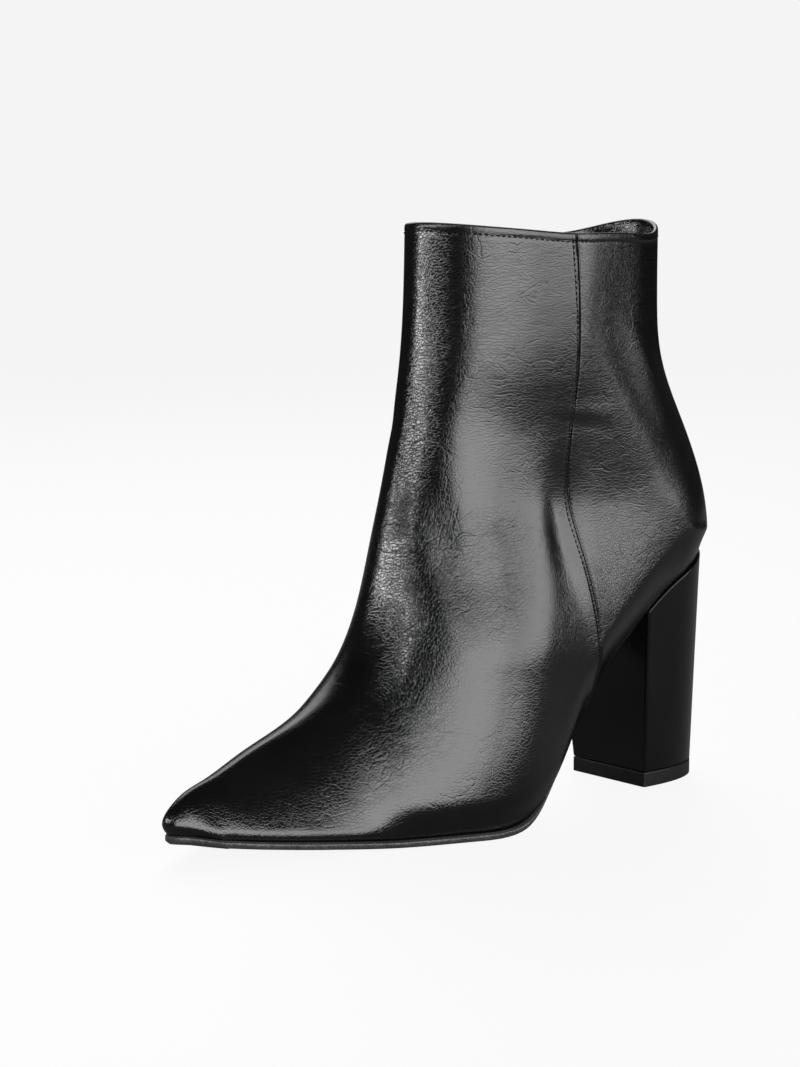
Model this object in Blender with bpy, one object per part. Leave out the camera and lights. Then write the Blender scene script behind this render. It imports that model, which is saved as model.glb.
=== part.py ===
# Left ankle boot with a pointed toe, a block heel and a side zip. Sizes are millimetres until a mesh is made.
# along: back from the toe tip, up: above the floor, outer and inner: the two sides of the foot.
import bmesh
import bpy
import math
import numpy as np
from mathutils import Matrix, Vector

MM = 0.001

# Driving sizes
LENGTH = 251.5
BALL_WIDTH = 76.4
SEAT_HEIGHT = 94.0      # lasted edge at the back of the heel
COLLAR_HEIGHT = 219.5
WALL = 1.8
GAP = 0.3

# Upper
TUCK = 1.6              # the wall turns in above the sole by this much
TUCK_HEIGHT = 11.0
SEAM_STEP = 0.9         # folded edge of the front panel over the back quarter
SEAM_FADE = 13.0
FOOT_TO_SHAFT = (60.0, 120.0)
SWELL_HEIGHT = 24.0     # the counter bulges over the lasted edge within this height
ROWS = 25
FRONT_COLUMNS = 24
BACK_COLUMNS = 13
TOE_CROWDING = 0.25     # columns and stations stand closer together at the toe

# Sole and insole
SOLE_LEDGE = 0.8        # the sole stands out past the lasted edge
SOLE_TOE_LEDGE = -1.0   # and lies under it at the toe tip
SOLE_TOE_REACH = 30.0
SOLE_THICKNESS = 3.0
SOLE_EDGE = 2.2
SHANK_LEDGE = -2.6      # the shank is hidden under the wall
SHANK_THICKNESS = 1.8
SHANK_STARTS = 122.0
SHANK_ENDS = 150.0
TREAD_INSET = 5.0
INSOLE_THICKNESS = 2.2
SOLE_STATIONS = 36
SOLE_BREAST_GAP = 1.0

# Heel
BREAST_TOP = 208.0
BREAST_FOOT = 212.0
HEEL_FOOT_DEPTH = 40.0
HEEL_FOOT_WIDTH = 41.0
HEEL_ROUND = 2.6
HEEL_SET = 0.7
TOP_PIECE = 5.8
HEEL_STATIONS = 12

# Side zip on the inner side
ZIP_AHEAD_OF_SEAM = 4.0
ZIP_SLOT = 7.4
ZIP_FOOT = 57.0
TAPE_WIDTH = 17.0
TAPE_THICKNESS = 0.8
TAPE_DEPTH = WALL + 0.6
CHAIN_WIDTH = 4.4
CHAIN_DEPTH = 0.5
SLIDER_HEIGHT = 205.0
SLIDER_SIZE = (6.4, 8.6, 1.8)      # across, down, out
BRIDGE_SIZE = (1.6, 5.2, 2.9)
BRIDGE_BAR = 0.9
PULL_SIZE = (5.6, 21.0, 1.2)
PULL_WINDOW = (2.5, 4.0)
PULL_BAR = 0.6

# Sections of the foot, in percent: along of LENGTH, edge of SEAT_HEIGHT, outer, inner and swell of BALL_WIDTH
FOOT_COLUMNS = ("along", "edge", "outer", "inner", "swell")
FOOT = (
    (0.0, 10.9, 0.0, 0.0, 0.0),
    (2.4, 10.5, 7.6, 9.3, 0.0),
    (5.5, 9.2, 14.6, 15.5, 0.0),
    (8.7, 8.1, 19.7, 19.9, 0.0),
    (12.3, 7.1, 24.9, 24.4, 0.0),
    (21.8, 4.7, 35.5, 33.1, 0.0),
    (31.4, 3.2, 46.8, 40.4, 0.0),
    (40.9, 3.3, 58.7, 43.7, 0.0),
    (50.5, 5.0, 60.6, 42.0, 0.0),
    (60.0, 22.0, 52.9, 37.9, 2.5),
    (69.5, 47.8, 40.8, 35.5, 8.0),
    (79.1, 68.5, 35.7, 35.2, 8.5),
    (88.6, 86.3, 31.1, 32.9, 7.0),
    (95.5, 95.1, 22.4, 24.0, 2.5),
    (100.0, 100.0, 0.0, 0.0, 0.0),
)

# Levels of the shaft, in percent: up of COLLAR_HEIGHT, half of BALL_WIDTH
SHAFT_COLUMNS = ("up", "half")
SHAFT = (
    (26.4, 42.5),
    (39.2, 43.5),
    (55.0, 41.6),
    (68.0, 44.2),
    (82.0, 45.9),
    (100.0, 46.0),
)

# Lines of the side view, in percent: along of LENGTH, up of COLLAR_HEIGHT, depth of LENGTH where the wall is full wide;
# roof is 0 where the outer side bends round and grows where it slopes straight down from the line
LINE_COLUMNS = ("along", "up", "depth", "roof")
RIDGE = (
    (0.0, 4.7, 6.4, 0),
    (0.0, 6.6, 6.4, 0),
    (1.4, 9.0, 5.9, 10),
    (3.9, 11.0, 6.4, 30),
    (7.7, 12.5, 7.6, 50),
    (15.0, 16.0, 10.4, 60),
    (24.9, 20.8, 14.0, 42),
    (32.8, 29.0, 17.5, 12),
    (36.5, 38.1, 19.9, 2),
    (38.7, 48.5, 21.4, 0),
    (40.6, 57.5, 22.3, 0),
    (43.0, 68.9, 22.3, 0),
    (44.6, 79.6, 21.8, 0),
    (45.2, 89.7, 21.8, 0),
    (45.4, 100.0, 21.8, 0),
)
BACK = (
    (100.0, 42.8, 11.2, 0),
    (100.8, 45.4, 12.0, 0),
    (100.6, 49.0, 12.9, 0),
    (99.2, 56.9, 15.9, 0),
    (94.9, 67.9, 19.9, 0),
    (90.6, 78.8, 21.4, 0),
    (89.9, 87.5, 21.8, 0),
    (89.9, 100.6, 21.8, 0),
)
COLLAR = (
    (45.4, 100.0),
    (50.3, 99.4),
    (56.1, 98.8),
    (61.5, 98.3),
    (75.4, 98.2),
    (84.1, 98.4),
    (89.9, 100.6),
)
SEAM = (
    (67.4, 18.5),
    (67.6, 31.0),
    (66.4, 39.2),
    (65.0, 46.5),
    (63.6, 54.7),
    (63.4, 62.0),
    (64.0, 75.0),
    (63.6, 98.3),
)


def column(table, columns, name, full):
    place = columns.index(name)
    return np.array([row[place] for row in table]) * full / 100


def spline(knots, values, places):
    step = np.diff(knots)
    slope = np.diff(values) / step
    count = len(knots)
    system = np.eye(count)
    right = np.zeros(count)
    for k in range(1, count - 1):
        system[k, k - 1:k + 2] = step[k - 1], 2 * (step[k - 1] + step[k]), step[k]
        right[k] = 6 * (slope[k] - slope[k - 1])
    bend = np.linalg.solve(system, right)
    places = np.clip(places, knots[0], knots[-1])
    k = np.clip(np.searchsorted(knots, places) - 1, 0, count - 2)
    past = places - knots[k]
    tilt = slope[k] - step[k] * (2 * bend[k] + bend[k + 1]) / 6
    return values[k] + past * tilt + past ** 2 * bend[k] / 2 + past ** 3 * (bend[k + 1] - bend[k]) / (6 * step[k])


def ease(start, end, place):
    share = np.clip((np.asarray(place, float) - start) / (end - start), 0, 1)
    return share * share * (3 - 2 * share)


def travel(line):
    return np.r_[0, np.cumsum(np.hypot(np.diff(line[:, 0]), np.diff(line[:, 1])))]


def side_line(table, samples=900):
    full = (LENGTH, COLLAR_HEIGHT, LENGTH, 1)
    values = [column(table, LINE_COLUMNS, name, size) for name, size in zip(LINE_COLUMNS[:len(table[0])], full)]
    reach = travel(np.c_[values[0], values[1]])
    at = np.linspace(0, reach[-1], samples)
    return np.stack([spline(reach, value, at) for value in values], axis=1)


def along_line(line, shares):
    reach = travel(line)
    at = np.asarray(shares) * reach[-1]
    return np.c_[np.interp(at, reach, line[:, 0]), np.interp(at, reach, line[:, 1])]


RIDGE_LINE = side_line(RIDGE)
BACK_LINE = side_line(BACK)
SEAM_LINE = side_line(SEAM)


def edge_height(along):
    return spline(column(FOOT, FOOT_COLUMNS, "along", LENGTH), column(FOOT, FOOT_COLUMNS, "edge", SEAT_HEIGHT), along)


def collar_height(along):
    return spline(column(COLLAR, LINE_COLUMNS, "along", LENGTH), column(COLLAR, LINE_COLUMNS, "up", COLLAR_HEIGHT), along)


# The wall bends round from a border line to its full width as a quarter of an oval
def rounding(share):
    return np.sqrt(1 - np.clip(1 - share, 0, 1) ** 2)


# Share of the full width at each place of the side view, from how far it lies behind a border line
def border_rounding(line, along, up, side):
    along, up = np.broadcast_arrays(np.asarray(along, float), np.asarray(up, float))
    spots = np.c_[along.ravel(), up.ravel()]
    shares = np.empty(len(spots))
    tangent = np.gradient(line[:, :2], axis=0)
    tangent /= np.linalg.norm(tangent, axis=1, keepdims=True)
    for start in range(0, len(spots), 4000):
        part = spots[start:start + 4000]
        apart = np.hypot(part[:, :1] - line[:, 0], part[:, 1:] - line[:, 1])
        near = np.argmin(apart, axis=1)
        offset = part - line[near, :2]
        distance = np.abs(offset[:, 0] * tangent[near, 1] - offset[:, 1] * tangent[near, 0])
        over_end = (near == 0) | (near == len(line) - 1)
        distance = np.where(over_end, apart.min(axis=1), distance)
        roof = np.maximum(line[near, 3], 0) * (side == "outer")
        shares[start:start + 4000] = rounding(distance / (line[near, 2] * (1 + 2 * roof))) ** (1 + roof)
    return shares.reshape(along.shape)


def both_roundings(along, up, side):
    return border_rounding(RIDGE_LINE, along, up, side) * border_rounding(BACK_LINE, along, up, side)


# Full half-width of the foot: the table's width at the lasted edge before its ends are rounded
def foot_half(along, side):
    knots = column(FOOT, FOOT_COLUMNS, "along", LENGTH)[1:-1]
    widths = column(FOOT, FOOT_COLUMNS, side, BALL_WIDTH)[1:-1]
    return spline(knots, widths / both_roundings(knots, edge_height(knots), side), along)


def swell_over_edge(along, up):
    knots = column(FOOT, FOOT_COLUMNS, "along", LENGTH)
    bulge = spline(knots, column(FOOT, FOOT_COLUMNS, "swell", BALL_WIDTH), along)
    return bulge * ease(0, SWELL_HEIGHT, up - edge_height(along))


def shaft_half(up):
    levels = column(SHAFT, SHAFT_COLUMNS, "up", COLLAR_HEIGHT)
    return spline(levels, column(SHAFT, SHAFT_COLUMNS, "half", BALL_WIDTH), up)


# Half-width of the upper at any place of the side view: foot sections below, shaft sections above
def half_width(along, up, side):
    mix = ease(*FOOT_TO_SHAFT, up)
    full = (foot_half(along, side) + swell_over_edge(along, up)) * (1 - mix) + shaft_half(up) * mix
    return full * both_roundings(along, up, side)


SIGN = {"outer": -1, "inner": 1}


def skin_point(along, up, side):
    return np.array([along, SIGN[side] * half_width(along, up, side), up])


def skin_normal(along, up, side, reach=0.5):
    lean = (half_width(along + reach, up, side) - half_width(along - reach, up, side)) / (2 * reach)
    climb = (half_width(along, up + reach, side) - half_width(along, up - reach, side)) / (2 * reach)
    out = np.array([-lean, SIGN[side], -climb])
    return out / np.linalg.norm(out)


# Fills the side view between four border lines
def patch(left, right, low, high):
    rows = np.linspace(0, 1, len(left))[:, None, None]
    reach = travel(low)
    cols = (reach / reach[-1])[None, :, None]
    across = (1 - cols) * left[:, None] + cols * right[:, None]
    upward = (1 - rows) * low[None] + rows * high[None]
    corners = (1 - rows) * ((1 - cols) * low[0] + cols * low[-1]) + rows * ((1 - cols) * high[0] + cols * high[-1])
    return across + upward - corners


# Shares of a stretch that starts at a round end
def from_toe(count):
    steps = np.linspace(0, 1, count)
    return (np.hypot(steps, TOE_CROWDING) - TOE_CROWDING) / (math.hypot(1, TOE_CROWDING) - TOE_CROWDING)


def to_heel(count):
    return np.sin(np.linspace(0, math.pi / 2, count))


def edge_stretch(start, end, shares):
    along = start + (end - start) * shares
    return np.c_[along, edge_height(along)]


def collar_stretch(start, end, shares):
    along = start + (end - start) * shares
    return np.c_[along, collar_height(along)]


# One side of the upper in front of a dividing line, and behind it
def side_patches(divide_front, divide_back, side, rows, front_columns, back_columns):
    steps = np.linspace(0, 1, rows)
    ridge = along_line(RIDGE_LINE, steps ** 1.6)
    back = along_line(BACK_LINE, steps)
    front_shares = from_toe(front_columns)
    back_shares = to_heel(back_columns)
    low = edge_stretch(0, divide_front[0, 0], front_shares)
    high = collar_stretch(ridge[-1, 0], divide_front[-1, 0], front_shares)
    front = patch(ridge, divide_front, low, high)
    low = edge_stretch(divide_back[0, 0], LENGTH, back_shares)
    high = collar_stretch(divide_back[-1, 0], back[-1, 0], back_shares)
    rear = patch(divide_back, back, low, high)
    grids = []
    for flat, closed in ((front, 0), (rear, -1)):
        half = half_width(flat[..., 0], flat[..., 1], side)
        half[:, closed] = 0
        grids.append(np.stack([flat[..., 0], SIGN[side] * half, flat[..., 1]], -1))
    return grids


def divide_line(shift, rows):
    line = SEAM_LINE + np.array([shift, 0])
    line[0, 1] = edge_height(line[0, 0])
    line[-1, 1] = collar_height(line[-1, 0])
    return along_line(line, np.linspace(0, 1, rows) ** 1.1)


# The whole wall as rows from sole to collar and columns round the boot, starting at the ridge on the outer side
def upper_grid(rows, front_columns, back_columns):
    seam = divide_line(0, rows)
    zip_front = divide_line(-ZIP_AHEAD_OF_SEAM - ZIP_SLOT / 2, rows)
    zip_back = divide_line(-ZIP_AHEAD_OF_SEAM + ZIP_SLOT / 2, rows)
    outer_front, outer_rear = side_patches(seam, seam, "outer", rows, front_columns, back_columns)
    inner_front, inner_rear = side_patches(zip_front, zip_back, "inner", rows, front_columns, back_columns)
    ring = np.concatenate([outer_front, outer_rear[:, 1:], inner_rear[:, -2::-1], inner_front[:, :0:-1]], axis=1)
    seam_column = front_columns - 1
    zip_column = seam_column + 2 * (back_columns - 1)
    slot_row = int(np.argmax(zip_back[:, 1] >= ZIP_FOOT))
    return ring, seam_column, zip_column, slot_row


def grid_normals(ring):
    round_about = np.roll(ring, -1, axis=1) - np.roll(ring, 1, axis=1)
    upward = np.gradient(ring, axis=0)
    out = np.cross(round_about, upward)
    return out / np.linalg.norm(out, axis=2, keepdims=True)


def tucked(ring, out):
    above = ring[..., 2] - edge_height(ring[..., 0])
    amount = TUCK * np.clip(1 - above / TUCK_HEIGHT, 0, 1) ** 2
    level = out * np.array([1, 1, 0])
    level /= np.maximum(np.linalg.norm(level, axis=2, keepdims=True), 0.001)
    return ring - amount[..., None] * level


def place_in_boot(points):
    moved = np.array(points, float) * MM
    moved[..., 0] -= LENGTH / 2 * MM
    return moved


def make_object(name, points, faces, material):
    mesh = bpy.data.meshes.new(name)
    mesh.from_pydata([tuple(point) for point in points], [], faces)
    shape = bmesh.new()
    shape.from_mesh(mesh)
    bmesh.ops.recalc_face_normals(shape, faces=shape.faces)
    shape.to_mesh(mesh)
    shape.free()
    mesh.materials.append(material)
    made = bpy.data.objects.new(name, mesh)
    bpy.context.collection.objects.link(made)
    return made


def make_material(name, colour, roughness, metallic=0.0):
    made = bpy.data.materials.new(name)
    made.use_nodes = True
    shader = made.node_tree.nodes["Principled BSDF"]
    shader.inputs["Base Color"].default_value = (*colour, 1)
    shader.inputs["Roughness"].default_value = roughness
    shader.inputs["Metallic"].default_value = metallic
    return made


# Hollow wall: an outer skin with the seam's step, an inner skin, and rims at sole, collar and zip slot
def make_upper(material):
    ring, seam_column, zip_column, slot_row = upper_grid(ROWS, FRONT_COLUMNS, BACK_COLUMNS)
    rows, count = ring.shape[:2]
    out = grid_normals(ring)
    ring = tucked(ring, out)
    before_seam = np.linalg.norm(ring - ring[:, seam_column:seam_column + 1], axis=2)
    lift = SEAM_STEP * np.clip(1 - before_seam / SEAM_FADE, 0, 1) ** 2
    lift[:, seam_column + 1:] = 0
    raised = ring + out * lift[..., None]
    lining = ring - out * WALL
    lining[0, :, 2] = ring[0, :, 2]
    points = np.concatenate([raised.reshape(-1, 3), ring[:, seam_column], lining.reshape(-1, 3)])
    fold_start = rows * count
    lining_start = fold_start + rows

    def outside(row, place, behind_seam=False):
        if behind_seam and place % count == seam_column:
            return fold_start + row
        return row * count + place % count

    def inside(row, place):
        return lining_start + row * count + place % count

    faces = []
    for row in range(rows - 1):
        faces.append((outside(row, seam_column), outside(row, seam_column, True),
                      outside(row + 1, seam_column, True), outside(row + 1, seam_column)))
        for place in range(count):
            after = place + 1
            if place == zip_column and row >= slot_row:
                faces.append((outside(row, place), inside(row, place), inside(row + 1, place), outside(row + 1, place)))
                faces.append((outside(row, after), outside(row + 1, after), inside(row + 1, after), inside(row, after)))
                if row == slot_row:
                    faces.append((outside(row, place), outside(row, after), inside(row, after), inside(row, place)))
                continue
            faces.append((outside(row, place, True), outside(row, after),
                          outside(row + 1, after), outside(row + 1, place, True)))
            faces.append((inside(row, place), inside(row + 1, place), inside(row + 1, after), inside(row, after)))
    for row, turn in ((0, 1), (rows - 1, -1)):
        faces.append((outside(row, seam_column), inside(row, seam_column), outside(row, seam_column, True))[::turn])
        for place in range(count):
            if place == zip_column and row >= slot_row:
                continue
            rim = (outside(row, place, True), inside(row, place), inside(row, place + 1), outside(row, place + 1))
            faces.append(rim[::turn])
    return make_object("upper", place_in_boot(points), faces, material)


# Plan outline of the lasted edge on one side, moved out by spread
def plan_outline(along, side, spread):
    half = half_width(along, edge_height(along), side)
    tangent = np.c_[np.gradient(along), np.gradient(half)]
    tangent /= np.linalg.norm(tangent, axis=1, keepdims=True)
    return np.c_[along - tangent[:, 1] * spread, np.maximum(half + tangent[:, 0] * spread, 0)]


# Closed ring of one level: outer side, shared end point, inner side
def level_ring(outer, inner, heights):
    outer_points = np.c_[outer[:, 0], -outer[:, 1], heights(outer[:, 0])]
    inner_points = np.c_[inner[:, 0], inner[:, 1], heights(inner[:, 0])]
    outer_points[0, 1] = 0
    return np.concatenate([outer_points[::-1], inner_points[1:]])


# Solid from level rings, its two ends closed by strips from side to side
def stack(name, rings, material):
    size = len(rings[0])
    faces = []
    for level in range(len(rings) - 1):
        for k in range(size):
            after = (k + 1) % size
            faces.append((level * size + k, level * size + after, (level + 1) * size + after, (level + 1) * size + k))
    last = (len(rings) - 1) * size
    for k in range(size // 2):
        other = size - 1 - k
        for start, turn in ((0, -1), (last, 1)):
            strip = [start + k, start + k + 1, start + other - 1, start + other]
            if k + 1 == other - 1:
                strip = [start + k, start + k + 1, start + other]
            faces.append(tuple(strip[::turn]))
    return make_object(name, place_in_boot(np.concatenate(rings)), faces, material)


def fore_stations():
    return (BREAST_TOP - SOLE_BREAST_GAP) * from_toe(SOLE_STATIONS)


def seat_stations():
    return BREAST_TOP + (LENGTH - BREAST_TOP) * to_heel(HEEL_STATIONS)


def sole_top(along):
    return edge_height(along) - GAP


def shank_share(along):
    return ease(SHANK_STARTS, SHANK_ENDS, along)


def make_outsole(material):
    along = fore_stations()
    from_tip = ease(0, SOLE_TOE_REACH, along)
    ledge = SOLE_TOE_LEDGE + (SOLE_LEDGE - SOLE_TOE_LEDGE) * from_tip
    ledge += (SHANK_LEDGE - ledge) * shank_share(along)
    inset = TREAD_INSET * (0.4 + 0.6 * from_tip)
    rim = [plan_outline(along, side, ledge) for side in ("outer", "inner")]
    tread = [plan_outline(along, side, ledge - inset) for side in ("outer", "inner")]

    def edge_foot(place):
        return sole_top(place) - SOLE_EDGE + (SOLE_EDGE - SHANK_THICKNESS + 0.6) * shank_share(place)

    def tread_foot(place):
        thick = SOLE_THICKNESS + (SHANK_THICKNESS - SOLE_THICKNESS) * shank_share(place)
        return np.maximum(sole_top(place) - thick, 0)

    rings = [level_ring(*rim, sole_top), level_ring(*rim, edge_foot), level_ring(*tread, tread_foot)]
    return stack("outsole", rings, material)


def make_insole(material):
    along = np.r_[fore_stations(), seat_stations()]
    inset = -(TUCK + WALL + 0.5)
    rim = [plan_outline(along, side, inset) for side in ("outer", "inner")]
    for line in rim:
        line[-1, 1] = 0
    low = level_ring(*rim, edge_height)
    high = low + np.array([0, 0, INSOLE_THICKNESS])
    return stack("insole", [high, low], material)


def heel_levels():
    shares = to_heel(HEEL_STATIONS)
    top = [plan_outline(seat_stations(), side, -HEEL_SET)[::-1] for side in ("outer", "inner")]
    for line in top:
        line[-1, 0] = BREAST_TOP
        line[0, 1] = 0
    foot_half_width = HEEL_FOOT_WIDTH / 2 * np.sqrt(np.clip(1 - shares ** HEEL_ROUND, 0, 1))
    foot = np.c_[BREAST_FOOT + HEEL_FOOT_DEPTH * shares, foot_half_width][::-1]
    return level_ring(*top, sole_top), level_ring(foot, foot, lambda place: np.zeros_like(place))


def make_heel_block(material):
    top, foot = heel_levels()
    base = foot + np.array([0, 0, TOP_PIECE + GAP])
    rings = [top + (base - top) * share for share in (0, 0.33, 0.66, 1)]
    return stack("heel_block", rings, material)


def make_heel_top_piece(material):
    foot = heel_levels()[1]
    middle = foot.mean(axis=0)
    worn = middle + (foot - middle) * np.array([0.985, 0.985, 1])
    rings = [foot + np.array([0, 0, TOP_PIECE]), foot + np.array([0, 0, 0.6]), worn]
    return stack("heel_top_piece", rings, material)


def zip_place(up):
    line = SEAM_LINE + np.array([-ZIP_AHEAD_OF_SEAM, 0])
    return np.interp(up, line[:, 1], line[:, 0])


# Strip that follows the wall along the zip, between two depths under the outer skin
def make_zip_strip(name, width, depth, thickness, foot, head, material):
    across = np.linspace(-width / 2, width / 2, 5)
    rings = []
    for up in np.linspace(foot, head, 22):
        places = [zip_place(up) + step for step in across]
        spots = [skin_point(place, up, "inner") for place in places]
        normals = [skin_normal(place, up, "inner") for place in places]
        front = [spot - out * depth for spot, out in zip(spots, normals)]
        rear = [spot - out * (depth + thickness) for spot, out in zip(spots, normals)]
        rings.append(np.array(front[::-1] + rear))
    size = len(rings[0])
    faces = []
    for level in range(len(rings) - 1):
        for k in range(size):
            after = (k + 1) % size
            faces.append((level * size + k, level * size + after, (level + 1) * size + after, (level + 1) * size + k))
    last = (len(rings) - 1) * size
    for k in range(size // 2 - 1):
        other = size - 1 - k
        faces.append((k, other, other - 1, k + 1))
        faces.append((last + k, last + k + 1, last + other - 1, last + other))
    return make_object(name, place_in_boot(np.concatenate(rings)), faces, material)


# Frame of the slider: X across the zip, Y down it, Z out of the wall
def slider_frame():
    along = zip_place(SLIDER_HEIGHT)
    out = Vector(skin_normal(along, SLIDER_HEIGHT, "inner"))
    below = skin_point(zip_place(SLIDER_HEIGHT - 5), SLIDER_HEIGHT - 5, "inner")
    down = Vector(below - skin_point(along, SLIDER_HEIGHT, "inner"))
    down = (down - out * down.dot(out)).normalized()
    across = down.cross(out)
    spot = place_in_boot(skin_point(along, SLIDER_HEIGHT, "inner"))
    turn = Matrix((across, down, out)).transposed().to_4x4()
    return Matrix.Translation(Vector(spot)) @ turn


def box_points(size, centre):
    corners = [(x, y, z) for z in (-0.5, 0.5) for x, y in ((-0.5, -0.5), (0.5, -0.5), (0.5, 0.5), (-0.5, 0.5))]
    return (np.array(corners) * size + centre) * MM


BOX_FACES = [(3, 2, 1, 0), (4, 5, 6, 7), (0, 1, 5, 4), (1, 2, 6, 5), (2, 3, 7, 6), (3, 0, 4, 7)]


def add_boolean(made, helper, operation):
    cut = made.modifiers.new(helper.name, "BOOLEAN")
    cut.operation = operation
    cut.solver = "EXACT"
    cut.object = helper
    helper.hide_render = True
    helper.display_type = "WIRE"


def make_slider(material, frame):
    across, down, thick = SLIDER_SIZE
    low = GAP - CHAIN_DEPTH
    body = make_object("zip_slider", box_points(SLIDER_SIZE, (0, 0, low + thick / 2)), BOX_FACES, material)
    top = low + thick
    width, length, height = BRIDGE_SIZE
    bridge = make_object("slider_bridge", box_points((width, length, height + 0.5), (0, 0, top + height / 2 - 0.25)),
                         BOX_FACES, material)
    hole_size = (width + 1, length - 2 * BRIDGE_BAR, height - BRIDGE_BAR)
    hole = make_object("slider_hole", box_points(hole_size, (0, 0, top + hole_size[2] / 2)), BOX_FACES, material)
    for made in (body, bridge, hole):
        made.matrix_world = frame
    add_boolean(body, bridge, "UNION")
    add_boolean(body, hole, "DIFFERENCE")
    return body


# Tab with a window at its head; the bar over the window is the hinge pin, on the object's own X axis
def make_pull(material, frame):
    across, length, thick = PULL_SIZE
    window_width, window_length = PULL_WINDOW
    head = -PULL_BAR
    outline = [(across / 2, head), (across / 2, length - 2), (across / 2 - 1.6, length),
               (-across / 2 + 1.6, length), (-across / 2, length - 2), (-across / 2, head)]
    window = [(window_width / 2, PULL_BAR), (window_width / 2, window_length),
              (-window_width / 2, window_length), (-window_width / 2, PULL_BAR)]
    points = []
    for side in (-thick / 2, thick / 2):
        points += [(x, y, side) for x, y in outline + window]
    count = len(outline) + len(window)
    flat = [(0, 1, 7, 6), (1, 2, 3, 4), (1, 4, 8, 7), (4, 5, 9, 8), (5, 0, 6, 9)]
    faces = [tuple(count + k for k in face) for face in flat] + [tuple(reversed(face)) for face in flat]
    faces += [(k, (k + 1) % 6, count + (k + 1) % 6, count + k) for k in range(6)]
    faces += [(6 + k, count + 6 + k, count + 6 + (k + 1) % 4, 6 + (k + 1) % 4) for k in range(4)]
    made = make_object("zip_pull", np.array(points) * MM, faces, material)
    pin = GAP - CHAIN_DEPTH + SLIDER_SIZE[2] + (BRIDGE_SIZE[2] - BRIDGE_BAR) / 2
    made.matrix_world = frame @ Matrix.Translation((0, 0, pin * MM))
    return made


def make_zip(tape_cloth, coil, metal):
    along_head = zip_place(SLIDER_HEIGHT)
    head = collar_height(along_head) - 2.5
    make_zip_strip("zip_tape", TAPE_WIDTH, TAPE_DEPTH, TAPE_THICKNESS, ZIP_FOOT - 6, head, tape_cloth)
    make_zip_strip("zip_chain", CHAIN_WIDTH, CHAIN_DEPTH, TAPE_DEPTH - GAP - CHAIN_DEPTH, ZIP_FOOT + 4, head - 1.5, coil)
    frame = slider_frame()
    make_slider(metal, frame)
    make_pull(metal, frame)


# Sets every piece under one empty, so that the boot's box stands centred over the origin
def stand_on_origin():
    bpy.context.view_layer.update()
    corners = np.array([made.matrix_world @ vertex.co for made in bpy.data.objects for vertex in made.data.vertices])
    middle = (corners.min(axis=0) + corners.max(axis=0)) / 2
    boot = bpy.data.objects.new("boot", None)
    bpy.context.collection.objects.link(boot)
    boot.location = (-middle[0], -middle[1], 0)
    for made in bpy.data.objects:
        if made is not boot:
            made.parent = boot


def build():
    for old in list(bpy.data.objects):
        bpy.data.objects.remove(old)
    leather = make_material("black_leather", (0.012, 0.012, 0.013), 0.36)
    sole_rubber = make_material("sole_rubber", (0.06, 0.06, 0.062), 0.5)
    heel_cover = make_material("heel_cover", (0.012, 0.012, 0.013), 0.3)
    wear_rubber = make_material("wear_rubber", (0.02, 0.02, 0.021), 0.6)
    bed = make_material("insole_lining", (0.02, 0.02, 0.021), 0.7)
    tape_cloth = make_material("zip_cloth", (0.015, 0.015, 0.016), 0.8)
    coil = make_material("zip_coil", (0.02, 0.02, 0.021), 0.4)
    metal = make_material("zip_metal", (0.55, 0.55, 0.56), 0.25, 1.0)
    make_upper(leather)
    make_outsole(sole_rubber)
    make_heel_block(heel_cover)
    make_heel_top_piece(wear_rubber)
    make_insole(bed)
    make_zip(tape_cloth, coil, metal)
    stand_on_origin()


build()
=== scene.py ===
import bmesh
import bpy
import math
import numpy as np
from mathutils import Matrix, Vector


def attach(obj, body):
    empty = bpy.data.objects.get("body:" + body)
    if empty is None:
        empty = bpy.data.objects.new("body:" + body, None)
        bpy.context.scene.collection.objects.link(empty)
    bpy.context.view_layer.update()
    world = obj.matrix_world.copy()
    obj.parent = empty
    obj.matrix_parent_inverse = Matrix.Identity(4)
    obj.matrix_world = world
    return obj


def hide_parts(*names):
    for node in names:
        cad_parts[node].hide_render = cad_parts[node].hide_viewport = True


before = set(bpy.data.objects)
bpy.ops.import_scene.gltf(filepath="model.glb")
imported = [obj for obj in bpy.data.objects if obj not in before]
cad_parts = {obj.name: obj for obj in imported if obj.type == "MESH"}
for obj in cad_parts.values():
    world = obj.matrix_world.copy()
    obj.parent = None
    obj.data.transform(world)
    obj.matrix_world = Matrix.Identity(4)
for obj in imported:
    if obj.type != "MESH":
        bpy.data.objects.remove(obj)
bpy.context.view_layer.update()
print("frame loaded with", len(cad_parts), "nodes")

# Shape of the last, in millimetres and percent: along runs back from the toe tip, up from the floor
last = {
    "length": 251.5, "ballWidth": 76.4, "seatHeight": 94.0, "collarHeight": 219.5,
    "wall": 1.8, "footToShaft": (60.0, 120.0), "swellHeight": 24.0, "toeCrowding": 0.25,
    "shift": (-127.079, 4.294, 0.0),
}
footTable = {
    "columns": ("along", "edge", "outer", "inner", "swell"),
    "rows": (
        (0.0, 10.9, 0.0, 0.0, 0.0), (2.4, 10.5, 7.6, 9.3, 0.0), (5.5, 9.2, 14.6, 15.5, 0.0),
        (8.7, 8.1, 19.7, 19.9, 0.0), (12.3, 7.1, 24.9, 24.4, 0.0), (21.8, 4.7, 35.5, 33.1, 0.0),
        (31.4, 3.2, 46.8, 40.4, 0.0), (40.9, 3.3, 58.7, 43.7, 0.0), (50.5, 5.0, 60.6, 42.0, 0.0),
        (60.0, 22.0, 52.9, 37.9, 2.5), (69.5, 47.8, 40.8, 35.5, 8.0), (79.1, 68.5, 35.7, 35.2, 8.5),
        (88.6, 86.3, 31.1, 32.9, 7.0), (95.5, 95.1, 22.4, 24.0, 2.5), (100.0, 100.0, 0.0, 0.0, 0.0),
    ),
}
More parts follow.
